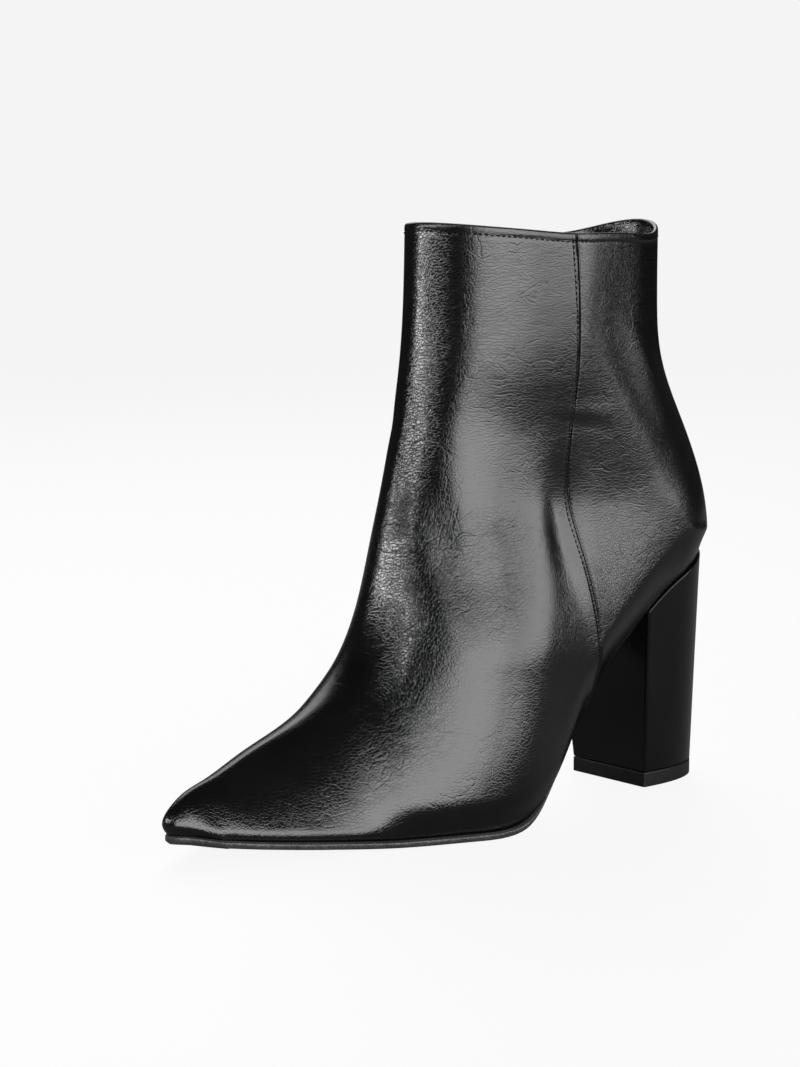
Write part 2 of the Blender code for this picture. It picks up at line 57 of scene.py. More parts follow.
shaftTable = {
    "columns": ("up", "half"),
    "rows": ((26.4, 42.5), (39.2, 43.5), (55.0, 41.6), (68.0, 44.2), (82.0, 45.9), (100.0, 46.0)),
}
ridgeTable = {
    "columns": ("along", "up", "depth", "roof"),
    "rows": (
        (0.0, 4.7, 6.4, 0), (0.0, 6.6, 6.4, 0), (1.4, 9.0, 5.9, 10), (3.9, 11.0, 6.4, 30),
        (7.7, 12.5, 7.6, 50), (15.0, 16.0, 10.4, 60), (24.9, 20.8, 14.0, 42), (32.8, 29.0, 17.5, 12),
        (36.5, 38.1, 19.9, 2), (38.7, 48.5, 21.4, 0), (40.6, 57.5, 22.3, 0), (43.0, 68.9, 22.3, 0),
        (44.6, 79.6, 21.8, 0), (45.2, 89.7, 21.8, 0), (45.4, 100.0, 21.8, 0),
    ),
}
backTable = {
    "columns": ("along", "up", "depth", "roof"),
    "rows": (
        (100.0, 42.8, 11.2, 0), (100.8, 45.4, 12.0, 0), (100.6, 49.0, 12.9, 0), (99.2, 56.9, 15.9, 0),
        (94.9, 67.9, 19.9, 0), (90.6, 78.8, 21.4, 0), (89.9, 87.5, 21.8, 0), (89.9, 100.6, 21.8, 0),
    ),
}
collarTable = {
    "columns": ("along", "up"),
    "rows": (
        (45.4, 100.0), (50.3, 99.4), (56.1, 98.8), (61.5, 98.3), (75.4, 98.2), (84.1, 98.4), (89.9, 100.6),
    ),
}
seamTable = {
    "columns": ("along", "up"),
    "rows": (
        (67.4, 18.5), (67.6, 31.0), (66.4, 39.2), (65.0, 46.5), (63.6, 54.7), (63.4, 62.0), (64.0, 75.0),
        (63.6, 98.3),
    ),
}
sideSign = {"outer": -1, "inner": 1}


def tableColumn(table, name, full):
    place = table["columns"].index(name)
    return np.array([row[place] for row in table["rows"]]) * full / 100


def naturalSpline(knots, values, places):
    step = np.diff(knots)
    slope = np.diff(values) / step
    count = len(knots)
    system = np.eye(count)
    right = np.zeros(count)
    for k in range(1, count - 1):
        system[k, k - 1:k + 2] = step[k - 1], 2 * (step[k - 1] + step[k]), step[k]
        right[k] = 6 * (slope[k] - slope[k - 1])
    bend = np.linalg.solve(system, right)
    places = np.clip(places, knots[0], knots[-1])
    k = np.clip(np.searchsorted(knots, places) - 1, 0, count - 2)
    past = places - knots[k]
    tilt = slope[k] - step[k] * (2 * bend[k] + bend[k + 1]) / 6
    return (values[k] + past * tilt + past ** 2 * bend[k] / 2
            + past ** 3 * (bend[k + 1] - bend[k]) / (6 * step[k]))


def ease(start, end, place):
    share = np.clip((np.asarray(place, float) - start) / (end - start), 0, 1)
    return share * share * (3 - 2 * share)


def hill(place, middle, width):
    return np.exp(-((place - middle) / width) ** 2)


def travel(line):
    return np.r_[0, np.cumsum(np.linalg.norm(np.diff(line, axis=0), axis=1))]


def sideLine(table, samples=700):
    full = {"along": last["length"], "up": last["collarHeight"], "depth": last["length"], "roof": 1}
    values = [tableColumn(table, name, full[name]) for name in table["columns"]]
    reach = travel(np.c_[values[0], values[1]])
    at = np.linspace(0, reach[-1], samples)
    return np.stack([naturalSpline(reach, value, at) for value in values], 1)


def alongLine(line, shares):
    reach = travel(line[:, :2])
    at = np.asarray(shares) * reach[-1]
    return np.c_[np.interp(at, reach, line[:, 0]), np.interp(at, reach, line[:, 1])]


ridgeLine = sideLine(ridgeTable)
backLine = sideLine(backTable)
seamLine = sideLine(seamTable)


def edgeHeight(along):
    knots = tableColumn(footTable, "along", last["length"])
    return naturalSpline(knots, tableColumn(footTable, "edge", last["seatHeight"]), along)


def collarHeight(along):
    knots = tableColumn(collarTable, "along", last["length"])
    return naturalSpline(knots, tableColumn(collarTable, "up", last["collarHeight"]), along)


def rounding(share):
    return np.sqrt(1 - np.clip(1 - share, 0, 1) ** 2)


def borderRounding(line, along, up, side):  # share of the full width near a line of the side view
    along, up = np.broadcast_arrays(np.asarray(along, float), np.asarray(up, float))
    spots = np.c_[along.ravel(), up.ravel()]
    shares = np.empty(len(spots))
    tangent = np.gradient(line[:, :2], axis=0)
    tangent /= np.linalg.norm(tangent, axis=1, keepdims=True)
    for start in range(0, len(spots), 3000):
        part = spots[start:start + 3000]
        apart = np.hypot(part[:, :1] - line[:, 0], part[:, 1:] - line[:, 1])
        near = np.argmin(apart, axis=1)
        offset = part - line[near, :2]
        distance = np.abs(offset[:, 0] * tangent[near, 1] - offset[:, 1] * tangent[near, 0])
        overEnd = (near == 0) | (near == len(line) - 1)
        distance = np.where(overEnd, apart.min(axis=1), distance)
        roof = np.maximum(line[near, 3], 0) * (side == "outer")
        shares[start:start + 3000] = rounding(distance / (line[near, 2] * (1 + 2 * roof))) ** (1 + roof)
    return shares.reshape(along.shape)


def bothRoundings(along, up, side):
    return borderRounding(ridgeLine, along, up, side) * borderRounding(backLine, along, up, side)


def footHalf(along, side):
    knots = tableColumn(footTable, "along", last["length"])[1:-1]
    widths = tableColumn(footTable, side, last["ballWidth"])[1:-1]
    return naturalSpline(knots, widths / bothRoundings(knots, edgeHeight(knots), side), along)


def swellOverEdge(along, up):
    knots = tableColumn(footTable, "along", last["length"])
    bulge = naturalSpline(knots, tableColumn(footTable, "swell", last["ballWidth"]), along)
    return bulge * ease(0, last["swellHeight"], up - edgeHeight(along))


def shaftHalf(up):
    levels = tableColumn(shaftTable, "up", last["collarHeight"])
    return naturalSpline(levels, tableColumn(shaftTable, "half", last["ballWidth"]), up)


def halfWidth(along, up, side):
    mix = ease(*last["footToShaft"], up)
    full = (footHalf(along, side) + swellOverEdge(along, up)) * (1 - mix) + shaftHalf(up) * mix
    return full * bothRoundings(along, up, side)


def skinPoint(along, up, side):
    along, up = np.broadcast_arrays(np.asarray(along, float), np.asarray(up, float))
    return np.stack([along, sideSign[side] * halfWidth(along, up, side), up], -1)


def skinNormal(along, up, side, reach=0.5):
    lean = (halfWidth(along + reach, up, side) - halfWidth(along - reach, up, side)) / (2 * reach)
    climb = (halfWidth(along, up + reach, side) - halfWidth(along, up - reach, side)) / (2 * reach)
    out = np.stack([-lean, np.full_like(lean, sideSign[side]), -climb], -1)
    return out / np.linalg.norm(out, axis=-1, keepdims=True)


def patch(left, right, low, high, rowShares):
    rows = rowShares[:, None, None]
    reach = travel(low)
    cols = (reach / reach[-1])[None, :, None]
    across = (1 - cols) * left[:, None] + cols * right[:, None]
    upward = (1 - rows) * low[None] + rows * high[None]
    lowLine = (1 - cols) * low[0] + cols * low[-1]
    highLine = (1 - cols) * high[0] + cols * high[-1]
    corners = (1 - rows) * lowLine + rows * highLine
    return across + upward - corners


def fromToe(count):
    crowd = last["toeCrowding"]
    steps = np.linspace(0, 1, count)
    return (np.hypot(steps, crowd) - crowd) / (math.hypot(1, crowd) - crowd)


def toHeel(count):
    return np.sin(np.linspace(0, math.pi / 2, count))


def edgeStretch(start, end, shares):
    along = start + (end - start) * shares
    return np.c_[along, edgeHeight(along)]


def collarStretch(start, end, shares):
    along = start + (end - start) * shares
    return np.c_[along, collarHeight(along)]


def placed(points):  # millimetres of the last to metres of the frame
    return (np.asarray(points, float) + np.array(last["shift"])) * 0.001


def makePiece(name, points, faces, material, smooth=True):
    mesh = bpy.data.meshes.new(name)
    mesh.from_pydata(np.asarray(points, float).tolist(), [], faces)
    mesh.materials.append(material)
    if smooth:
        mesh.shade_smooth()
    piece = bpy.data.objects.new(name, mesh)
    bpy.context.collection.objects.link(piece)
    return piece


def turnOutward(piece):
    shape = bmesh.new()
    shape.from_mesh(piece.data)
    bmesh.ops.recalc_face_normals(shape, faces=shape.faces)
    shape.to_mesh(piece.data)
    shape.free()


def bandFace(row, k, count):  # face between two neighbouring rings of count points
    after = (k + 1) % count
    return (row * count + k, row * count + after, (row + 1) * count + after, (row + 1) * count + k)


def settle(piece, body, slot, *nodes):
    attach(piece, body)
    if nodes:
        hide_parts(*nodes)
    return piece


# Shader groups used by more than one finish
def startGroup(name, inputs, outputs):
    group = bpy.data.node_groups.new(name, "ShaderNodeTree")
    for label, value in inputs:
        socket = group.interface.new_socket(label, in_out="INPUT", socket_type="NodeSocketFloat")
        socket.default_value = value
    for label in outputs:
        group.interface.new_socket(label, in_out="OUTPUT", socket_type="NodeSocketFloat")
    start = group.nodes.new("NodeGroupInput")
    end = group.nodes.new("NodeGroupOutput")
    return group, start, end


def addMath(tree, operation, first, second=None, clamp=False):
    node = tree.nodes.new("ShaderNodeMath")
    node.operation = operation
    node.use_clamp = clamp
    for socket, value in zip(node.inputs, (first, second)):
        if value is None:
            continue
        if isinstance(value, (int, float)):
            socket.default_value = value
        else:
            tree.links.new(value, socket)
    return node.outputs[0]


def addRange(tree, value, fromLow, fromHigh, toLow, toHigh):
    node = tree.nodes.new("ShaderNodeMapRange")
    node.interpolation_type = "SMOOTHSTEP"
    tree.links.new(value, node.inputs["Value"])
    limits = {"From Min": fromLow, "From Max": fromHigh, "To Min": toLow, "To Max": toHigh}
    for label, number in limits.items():
        node.inputs[label].default_value = number
    return node.outputs["Result"]


def addNoise(tree, vector, scale, detail, roughness=0.5):
    node = tree.nodes.new("ShaderNodeTexNoise")
    tree.links.new(vector, node.inputs["Vector"])
    if isinstance(scale, (int, float)):
        node.inputs["Scale"].default_value = scale
    else:
        tree.links.new(scale, node.inputs["Scale"])
    node.inputs["Detail"].default_value = detail
    node.inputs["Roughness"].default_value = roughness
    return node


def addCells(tree, vector, scale):
    node = tree.nodes.new("ShaderNodeTexVoronoi")
    node.feature = "DISTANCE_TO_EDGE"
    tree.links.new(vector, node.inputs["Vector"])
    tree.links.new(scale, node.inputs["Scale"])
    return node.outputs["Distance"]


def addVector(tree, operation, first, second):
    node = tree.nodes.new("ShaderNodeVectorMath")
    node.operation = operation
    for socket, value in zip(node.inputs, (first, second)):
        if isinstance(value, tuple):
            socket.default_value = value
        else:
            tree.links.new(value, socket)
    return node.outputs[0]


def bentSpot(tree, spot, perMetre, detail, reach):  # places pushed about by noise
    push = addNoise(tree, spot, perMetre, detail).outputs["Color"]
    push = addVector(tree, "SCALE", addVector(tree, "SUBTRACT", push, (0.5, 0.5, 0.5)), (0.0, 0.0, 0.0))
    push.node.inputs["Scale"].default_value = reach
    return addVector(tree, "ADD", spot, push)


def makeGrainGroup():  # fine pebbled hide with broken wrinkle lines
    group, start, end = startGroup(
        "hideGrain",
        (("Cells Per Metre", 720.0), ("Wrinkles Per Metre", 150.0), ("Wrinkle Share", 1.2),
         ("Fine Share", 0.1), ("Slack Share", 4.0)),
        ("Height", "Polish"))
    spot = group.nodes.new("ShaderNodeTexCoord").outputs["Object"]
    bent = bentSpot(group, spot, 420.0, 2.0, 0.0011)
    pebbles = addRange(group, addCells(group, bent, start.outputs["Cells Per Metre"]), 0.0, 0.2, 0.0, 1.0)
    swept = bentSpot(group, spot, 60.0, 3.0, 0.012)
    lines = addRange(group, addCells(group, swept, start.outputs["Wrinkles Per Metre"]), 0.0, 0.07, 0.0, 1.0)
    broken = addRange(group, addNoise(group, spot, 85.0, 2.0).outputs["Fac"], 0.42, 0.62, 0.0, 1.0)
    lines = addMath(group, "MULTIPLY", addMath(group, "SUBTRACT", 1.0, lines), broken)
    lines = addMath(group, "MULTIPLY", lines, start.outputs["Wrinkle Share"])
    fine = addNoise(group, spot, 2600.0, 3.0, 0.6).outputs["Fac"]
    fine = addMath(group, "MULTIPLY", fine, start.outputs["Fine Share"])
    slack = addNoise(group, spot, 75.0, 2.0).outputs["Fac"]
    slack = addMath(group, "MULTIPLY", slack, start.outputs["Slack Share"])
    height = addMath(group, "ADD", pebbles, addMath(group, "ADD", fine, slack))
    height = addMath(group, "SUBTRACT", height, lines)
    group.links.new(height, end.inputs["Height"])
    polish = addMath(group, "MULTIPLY", pebbles, addMath(group, "SUBTRACT", 1.0, lines, True))
    group.links.new(polish, end.inputs["Polish"])
    return group


def makeMottleGroup():  # slow drift of tone and gloss over a surface, with a finer second layer
    group, start, end = startGroup(
        "mottle", (("Patches Per Metre", 25.0), ("Specks Per Metre", 700.0)), ("Patch", "Speck"))
    spot = group.nodes.new("ShaderNodeTexCoord").outputs["Object"]
    patches = addNoise(group, spot, start.outputs["Patches Per Metre"], 3.0).outputs["Fac"]
    specks = addNoise(group, spot, start.outputs["Specks Per Metre"], 2.0).outputs["Fac"]
    group.links.new(addRange(group, patches, 0.3, 0.7, 0.0, 1.0), end.inputs["Patch"])
    group.links.new(addRange(group, specks, 0.35, 0.65, 0.0, 1.0), end.inputs["Speck"])
    return group


def makeWeaveGroup():  # over and under threads along X and Z, with painted shade in the gaps between threads
    group, start, end = startGroup("weave", (("Threads Per Metre", 2200.0),), ("Height", "Painted Gap Shade"))
    spot = group.nodes.new("ShaderNodeTexCoord").outputs["Object"]
    parts = group.nodes.new("ShaderNodeSeparateXYZ")
    group.links.new(spot, parts.inputs[0])
    turn = addMath(group, "MULTIPLY", start.outputs["Threads Per Metre"], math.pi)
    warp = addMath(group, "SINE", addMath(group, "MULTIPLY", parts.outputs["X"], turn))
    weft = addMath(group, "SINE", addMath(group, "MULTIPLY", parts.outputs["Z"], turn))
    woven = addMath(group, "MULTIPLY", warp, weft)
    height = addRange(group, woven, -1.0, 1.0, 0.0, 1.0)
    group.links.new(height, end.inputs["Height"])
    # where the threads part, the mask for the painted shade that darkens the cloth's colour there
    gap = addRange(group, addMath(group, "ABSOLUTE", woven), 0.0, 0.35, 1.0, 0.0)
    group.links.new(gap, end.inputs["Painted Gap Shade"])
    return group


hideGrain = makeGrainGroup()
mottle = makeMottleGroup()
weave = makeWeaveGroup()


def placeGroup(tree, group, values):
    node = tree.nodes.new("ShaderNodeGroup")
    node.node_tree = group
    for label, value in values.items():
        node.inputs[label].default_value = value
    return node


def addBump(tree, height, strength, distance):
    node = tree.nodes.new("ShaderNodeBump")
    node.inputs["Strength"].default_value = strength
    node.inputs["Distance"].default_value = distance
    tree.links.new(height, node.inputs["Height"])
    return node.outputs["Normal"]


def startFinish(name, fixed):
    made = bpy.data.materials.new(name)
    made.use_nodes = True
    shader = made.node_tree.nodes["Principled BSDF"]
    for label, value in fixed.items():
        shader.inputs[label].default_value = value
    return made, made.node_tree, shader


def dye(tree, shader, share, first, second):  # base colour between two tones
    node = tree.nodes.new("ShaderNodeMix")
    node.data_type = "RGBA"
    tree.links.new(share, node.inputs["Factor"])
    node.inputs["A"].default_value = (*first, 1)
    node.inputs["B"].default_value = (*second, 1)
    tree.links.new(node.outputs["Result"], shader.inputs["Base Color"])


def makeHide(name, look):
    made, tree, shader = startFinish(name, look["fixed"])
    grain = placeGroup(tree, hideGrain, look["grain"])
    drift = placeGroup(tree, mottle, look["mottle"])
    dye(tree, shader, drift.outputs["Patch"], look["dark"], look["light"])
    low, high = look["roughness"]
    rough = addRange(tree, grain.outputs["Polish"], 0.0, 1.0, high, low)
    rough = addMath(tree, "ADD", rough, addRange(tree, drift.outputs["Patch"], 0.0, 1.0, 0.0, look["drift"]))
    tree.links.new(rough, shader.inputs["Roughness"])
    tree.links.new(addBump(tree, grain.outputs["Height"], *look["bump"]), shader.inputs["Normal"])
    return made


def makeMoulded(name, look):
    made, tree, shader = startFinish(name, look["fixed"])
    drift = placeGroup(tree, mottle, look["mottle"])
    dye(tree, shader, drift.outputs["Patch"], look["dark"], look["light"])
    low, high = look["roughness"]
    tree.links.new(addRange(tree, drift.outputs["Speck"], 0.0, 1.0, low, high), shader.inputs["Roughness"])
    tree.links.new(addBump(tree, drift.outputs["Speck"], *look["bump"]), shader.inputs["Normal"])
    return made


def makeCloth(name, look):
    made, tree, shader = startFinish(name, look["fixed"])
    threads = placeGroup(tree, weave, look["weave"])
    # painted shade: the gaps between threads get the dark tone, the thread crowns the light one
    dye(tree, shader, threads.outputs["Painted Gap Shade"], look["light"], look["dark"])
    tree.links.new(addBump(tree, threads.outputs["Height"], *look["bump"]), shader.inputs["Normal"])
    return made


upperHide = makeHide("upperHide", {
    "fixed": {"IOR": 1.5},
    "grain": {"Cells Per Metre": 900.0, "Wrinkles Per Metre": 170.0, "Wrinkle Share": 1.4,
              "Fine Share": 0.06, "Slack Share": 7.0},
    "mottle": {"Patches Per Metre": 28.0, "Specks Per Metre": 700.0},
    "dark": (0.0016, 0.0016, 0.0018), "light": (0.003, 0.003, 0.0032),
    "roughness": (0.13, 0.18), "drift": 0.02, "bump": (0.15, 0.0002)})
liningHide = makeHide("liningHide", {
    "fixed": {"IOR": 1.5},
    "grain": {"Cells Per Metre": 900.0, "Wrinkles Per Metre": 100.0, "Wrinkle Share": 0.3,
              "Fine Share": 0.3, "Slack Share": 2.0},
    "mottle": {"Patches Per Metre": 30.0, "Specks Per Metre": 700.0},
    "dark": (0.012, 0.012, 0.013), "light": (0.02, 0.02, 0.021),
    "roughness": (0.4, 0.5), "drift": 0.06, "bump": (0.4, 0.0004)})
soleRubber = makeMoulded("soleRubber", {
    "fixed": {"IOR": 1.5}, "mottle": {"Patches Per Metre": 60.0, "Specks Per Metre": 900.0},
    "dark": (0.02, 0.02, 0.021), "light": (0.034, 0.034, 0.035),
    "roughness": (0.22, 0.36), "bump": (0.2, 0.0002)})
heelCover = makeMoulded("heelCover", {
    "fixed": {"IOR": 1.4}, "mottle": {"Patches Per Metre": 40.0, "Specks Per Metre": 1400.0},
    "dark": (0.0015, 0.0015, 0.0016), "light": (0.0025, 0.0025, 0.0026),
    "roughness": (0.15, 0.2), "bump": (0.05, 0.0001)})
wearRubber = makeMoulded("wearRubber", {
    "fixed": {"IOR": 1.4}, "mottle": {"Patches Per Metre": 60.0, "Specks Per Metre": 1100.0},
    "dark": (0.003, 0.003, 0.0032), "light": (0.005, 0.005, 0.0052),
    "roughness": (0.34, 0.44), "bump": (0.1, 0.00015)})
zipCoilPlastic = makeMoulded("zipCoilPlastic", {
    "fixed": {"IOR": 1.5}, "mottle": {"Patches Per Metre": 90.0, "Specks Per Metre": 1500.0},
    "dark": (0.013, 0.013, 0.014), "light": (0.02, 0.02, 0.021),
    "roughness": (0.3, 0.4), "bump": (0.08, 0.0001)})
zipMetal = makeMoulded("zipMetal", {
    "fixed": {"Metallic": 1.0}, "mottle": {"Patches Per Metre": 120.0, "Specks Per Metre": 2500.0},
    "dark": (0.42, 0.42, 0.43), "light": (0.56, 0.56, 0.57),
    "roughness": (0.2, 0.32), "bump": (0.06, 0.0001)})
zipCloth = makeCloth("zipCloth", {
    "fixed": {"Roughness": 0.8, "Sheen Weight": 0.15}, "weave": {"Threads Per Metre": 1600.0},
    "dark": (0.006, 0.006, 0.0065), "light": (0.02, 0.02, 0.021), "bump": (0.5, 0.0002)})
threadTwist = makeCloth("threadTwist", {
    "fixed": {"Roughness": 0.75, "IOR": 1.25}, "weave": {"Threads Per Metre": 3600.0},
    "dark": (0.002, 0.002, 0.002), "light": (0.005, 0.005, 0.0052), "bump": (0.4, 0.0001)})
print("finishes made")

# Upper
upper = {
    "rows": 96, "frontColumns": 92, "backColumns": 46, "slotColumns": 5,
    "collarRows": (0.0016, 0.0035, 0.0055, 0.008, 0.0105, 0.013, 0.0155, 0.018, 0.021, 0.025, 0.03),
    "seamShares": (0.0012, 0.0025, 0.004, 0.006, 0.0085, 0.0115, 0.015, 0.0195, 0.026, 0.034, 0.045, 0.06),
    "edgeShares": (0.0015, 0.004, 0.008, 0.014, 0.022, 0.032),
    "seamStep": 0.9, "stepRound": 0.35, "seamFade": 13.0, "seamTurn": (0.1, -0.25), "liningTop": 6.0,
    "seamStitch": 2.3, "collarStitch": 2.6, "zipStitch": 2.4,
    "zipAhead": 4.0, "zipSlot": 7.4, "zipFoot": 57.0, "lipRows": 12,
}
lastedEdge = {  # the leather turns in over the sole and stands out a little above it
    "tuck": 1.6, "tuckHeight": 11.0, "tuckAtToe": 4.0, "tuckGrows": (64.0, 80.0),
    "fullness": 2.3, "rises": 13.0, "falls": (16.0, 60.0), "starts": (64.0, 86.0), "ends": (118.0, 150.0),
    "fromMiddle": 15.0,
}
reliefs = {  # low beads and grooves along an edge: height, distance from the edge, width
    "seam": ((0.25, 0.5, 0.32), (-0.85, 1.25, 0.3), (-0.45, upper["seamStitch"], 0.5)),
    "behindSeam": ((-1.2, 0.2, 0.7),),
    "collar": ((0.08, 1.2, 0.9), (-0.22, upper["collarStitch"], 0.4)),
    "zipEdge": ((-0.35, 0.0, 0.4), (-0.18, upper["zipStitch"], 0.45)),
    "zipMiddle": ((-0.3, 0.0, 0.9),),
}
creases = {
    "columns": ("side", "along", "up", "lean", "length", "width", "lift"),
    "rows": (
        ("outer", 107.0, 112.0, 95.0, 48.0, 9.0, -2.2),     # hollow where the shaft meets the instep
        ("outer", 124.0, 109.0, 0.0, 76.0, 15.0, 1.4),      # swelling of the ankle
        ("outer", 155.0, 113.0, 90.0, 44.0, 8.0, -2.5),     # hollow in front of the seam at the ankle
        ("outer", 134.0, 148.0, 0.0, 80.0, 15.0, -1.1),     # slack of the shaft above the ankle
        ("outer", 188.0, 68.0, 65.0, 60.0, 18.0, 1.2),      # fullness over the waist
        ("outer", 168.0, 146.0, -8.0, 24.0, 2.2, -0.22),    # small crease behind the seam
        ("outer", 168.0, 150.0, -8.0, 24.0, 2.4, 0.3),
        ("outer", 156.0, 190.0, 92.0, 76.0, 12.0, 0.9),     # fold of the shaft along the seam
        ("outer", 186.0, 194.0, 92.0, 84.0, 17.0, -2.2),    # hollow of the back panel
        ("outer", 205.0, 165.0, -52.0, 42.0, 5.0, 0.6),     # slanting fold of the quarter
        ("outer", 198.0, 154.0, -52.0, 46.0, 6.0, -0.6),
        ("inner", 146.0, 100.0, 100.0, 44.0, 7.0, -0.9),    # like folds of the inner side
        ("inner", 122.0, 146.0, 3.0, 60.0, 6.0, -0.4),
        ("inner", 200.0, 156.0, -52.0, 44.0, 6.0, -0.5),
    ),
}


def divideLine(shift, rowShares):
    line = seamLine + np.array([shift, 0])
    line[0, 1] = edgeHeight(line[0, 0])
    line[-1, 1] = collarHeight(line[-1, 0])
    return alongLine(line, rowShares ** 1.1)


def sideGrid(divide, side, rowShares, colShares, behind):
    if behind:
        left, right = divide, alongLine(backLine, rowShares)
        low = edgeStretch(divide[0, 0], last["length"], colShares)
    else:
        left, right = alongLine(ridgeLine, rowShares ** 1.6), divide
        low = edgeStretch(0, divide[0, 0], colShares)
    high = collarStretch(left[-1, 0], right[-1, 0], colShares)
    flat = patch(left, right, low, high, rowShares)
    half = halfWidth(flat[..., 0], flat[..., 1], side)
    half[:, -1 if behind else 0] = 0
    return np.stack([flat[..., 0], sideSign[side] * half, flat[..., 1]], -1)


def mergedShares(base, extra):
    shares = np.unique(np.r_[base, extra].round(6))
    keep = np.r_[True, np.diff(shares) > 0.0008]
    return shares[keep]


def upperRing(size):
    rowShares = mergedShares(np.linspace(0, 1, size["rows"]), [1 - share for share in size["collarRows"]])
    front = mergedShares(fromToe(size["frontColumns"]), [1 - share for share in size["seamShares"]])
    rear = mergedShares(toHeel(size["backColumns"]), size["edgeShares"])
    seam = divideLine(0, rowShares)
    zipFront = divideLine(-size["zipAhead"] - size["zipSlot"] / 2, rowShares)
    zipBack = divideLine(-size["zipAhead"] + size["zipSlot"] / 2, rowShares)
    outerFront = sideGrid(seam, "outer", rowShares, front, False)
    outerRear = sideGrid(seam, "outer", rowShares, rear, True)
    innerFront = sideGrid(zipFront, "inner", rowShares, front, False)
    innerRear = sideGrid(zipBack, "inner", rowShares, rear, True)
    steps = np.linspace(0, 1, size["slotColumns"] + 2)[1:-1]
    between = zipBack[:, None] * (1 - steps[None, :, None]) + zipFront[:, None] * steps[None, :, None]
    fill = skinPoint(between[..., 0], between[..., 1], "inner")
    around = [outerFront, outerRear[:, 1:], innerRear[:, -2::-1], fill, innerFront[:, :0:-1]]
    ring = np.concatenate(around, axis=1)
    marks = {"seam": len(front) - 1}
    marks["back"] = marks["seam"] + len(rear) - 1
    marks["zipBack"] = marks["back"] + len(rear) - 1
    marks["zipFront"] = marks["zipBack"] + size["slotColumns"] + 1
    marks["slotRow"] = int(np.argmax(zipBack[:, 1] >= size["zipFoot"]))
    return ring, marks


def ringNormals(ring):
    roundAbout = np.roll(ring, -1, axis=1) - np.roll(ring, 1, axis=1)
    upward = np.gradient(ring, axis=0)
    out = np.cross(roundAbout, upward)
    return out / np.maximum(np.linalg.norm(out, axis=2, keepdims=True), 1e-9)


def tuckedIn(ring, out):
    above = ring[..., 2] - edgeHeight(ring[..., 0])
    toe = lastedEdge["tuckAtToe"]
    height = toe + (lastedEdge["tuckHeight"] - toe) * ease(*lastedEdge["tuckGrows"], ring[..., 0])
    amount = lastedEdge["tuck"] * np.clip(1 - above / height, 0, 1) ** 2
    level = out * np.array([1, 1, 0])
    level /= np.maximum(np.linalg.norm(level, axis=2, keepdims=True), 0.001)
    return ring - amount[..., None] * level


def creaseLift(ring):
    lift = np.zeros(ring.shape[:2])
    for side, along, up, lean, length, width, height in creases["rows"]:
        turn = math.radians(lean)
        sideways, upward = ring[..., 0] - along, ring[..., 2] - up
        run = sideways * math.cos(turn) + upward * math.sin(turn)
        off = upward * math.cos(turn) - sideways * math.sin(turn)
        on = ease(0, 6, sideSign[side] * ring[..., 1])
        lift += height * np.exp(-(off / width) ** 2 - (2 * run / length) ** 2) * on
    return lift


def sideLift(ring):  # the forefoot's sides stand out a little over the lasted edge
    above = ring[..., 2] - edgeHeight(ring[..., 0])
    size = lastedEdge
    reach = ease(*size["starts"], ring[..., 0]) * (1 - ease(*size["ends"], ring[..., 0]))
    swell = ease(0, size["rises"], above) * (1 - ease(*size["falls"], above))
    return size["fullness"] * swell * reach * ease(0, size["fromMiddle"], np.abs(ring[..., 1]))


def relief(name, distance):
    return sum(height * hill(distance, middle, width) for height, middle, width in reliefs[name])


def seamLift(ring, marks, size):
    lift = np.zeros(ring.shape[:2])
    apart = np.linalg.norm(ring - ring[:, marks["seam"]:marks["seam"] + 1], axis=2)
    front = slice(0, marks["seam"] + 1)
    d = apart[:, front]
    step = size["seamStep"] * (0.5 + 0.5 * rounding(d / size["stepRound"]))
    lift[:, front] = step * np.clip(1 - d / size["seamFade"], 0, 1) ** 2 + relief("seam", d)
    rear = slice(marks["seam"] + 1, marks["back"])
    lift[:, rear] = relief("behindSeam", apart[:, rear])
    return lift


def zipLift(ring, marks):
    lift = np.zeros(ring.shape[:2])
    behind = slice(marks["back"], marks["zipBack"] + 1)
    sides = {"zipBack": behind, "zipFront": slice(marks["zipFront"], None)}
    for edge, part in sides.items():
        d = np.linalg.norm(ring[:, part] - ring[:, marks[edge]:marks[edge] + 1], axis=2)
        lift[:, part] = relief("zipEdge", d)
        lift[:marks["slotRow"], part] = 0
    fill = slice(marks["zipBack"], marks["zipFront"] + 1)
    middle = (ring[:, marks["zipBack"]] + ring[:, marks["zipFront"]])[:, None] / 2
    lift[:, fill] += relief("zipMiddle", np.linalg.norm(ring[:, fill] - middle, axis=2))
    return lift


def collarLift(ring):
    return relief("collar", collarHeight(ring[..., 0]) - ring[..., 2])


def gridFaces(rows, cols, marks):
    slot = range(marks["zipBack"], marks["zipFront"])
    cells = [(row, col) for row in range(rows - 1) for col in range(cols)]
    return [bandFace(row, col, cols) for row, col in cells if row < marks["slotRow"] or col not in slot]


def addLip(points, faces, border, out, down, profile):  # border indices, then rows moved along out and down
    before = list(border)
    base = np.array([points[k] for k in border])
    for outward, downward in profile:
        start = len(points)
        points.extend(base + out * outward + down * downward)
        now = list(range(start, start + len(border)))
        for k in range(len(border) - 1):
            faces.append((before[k], before[k + 1], now[k + 1], now[k]))
        before = now


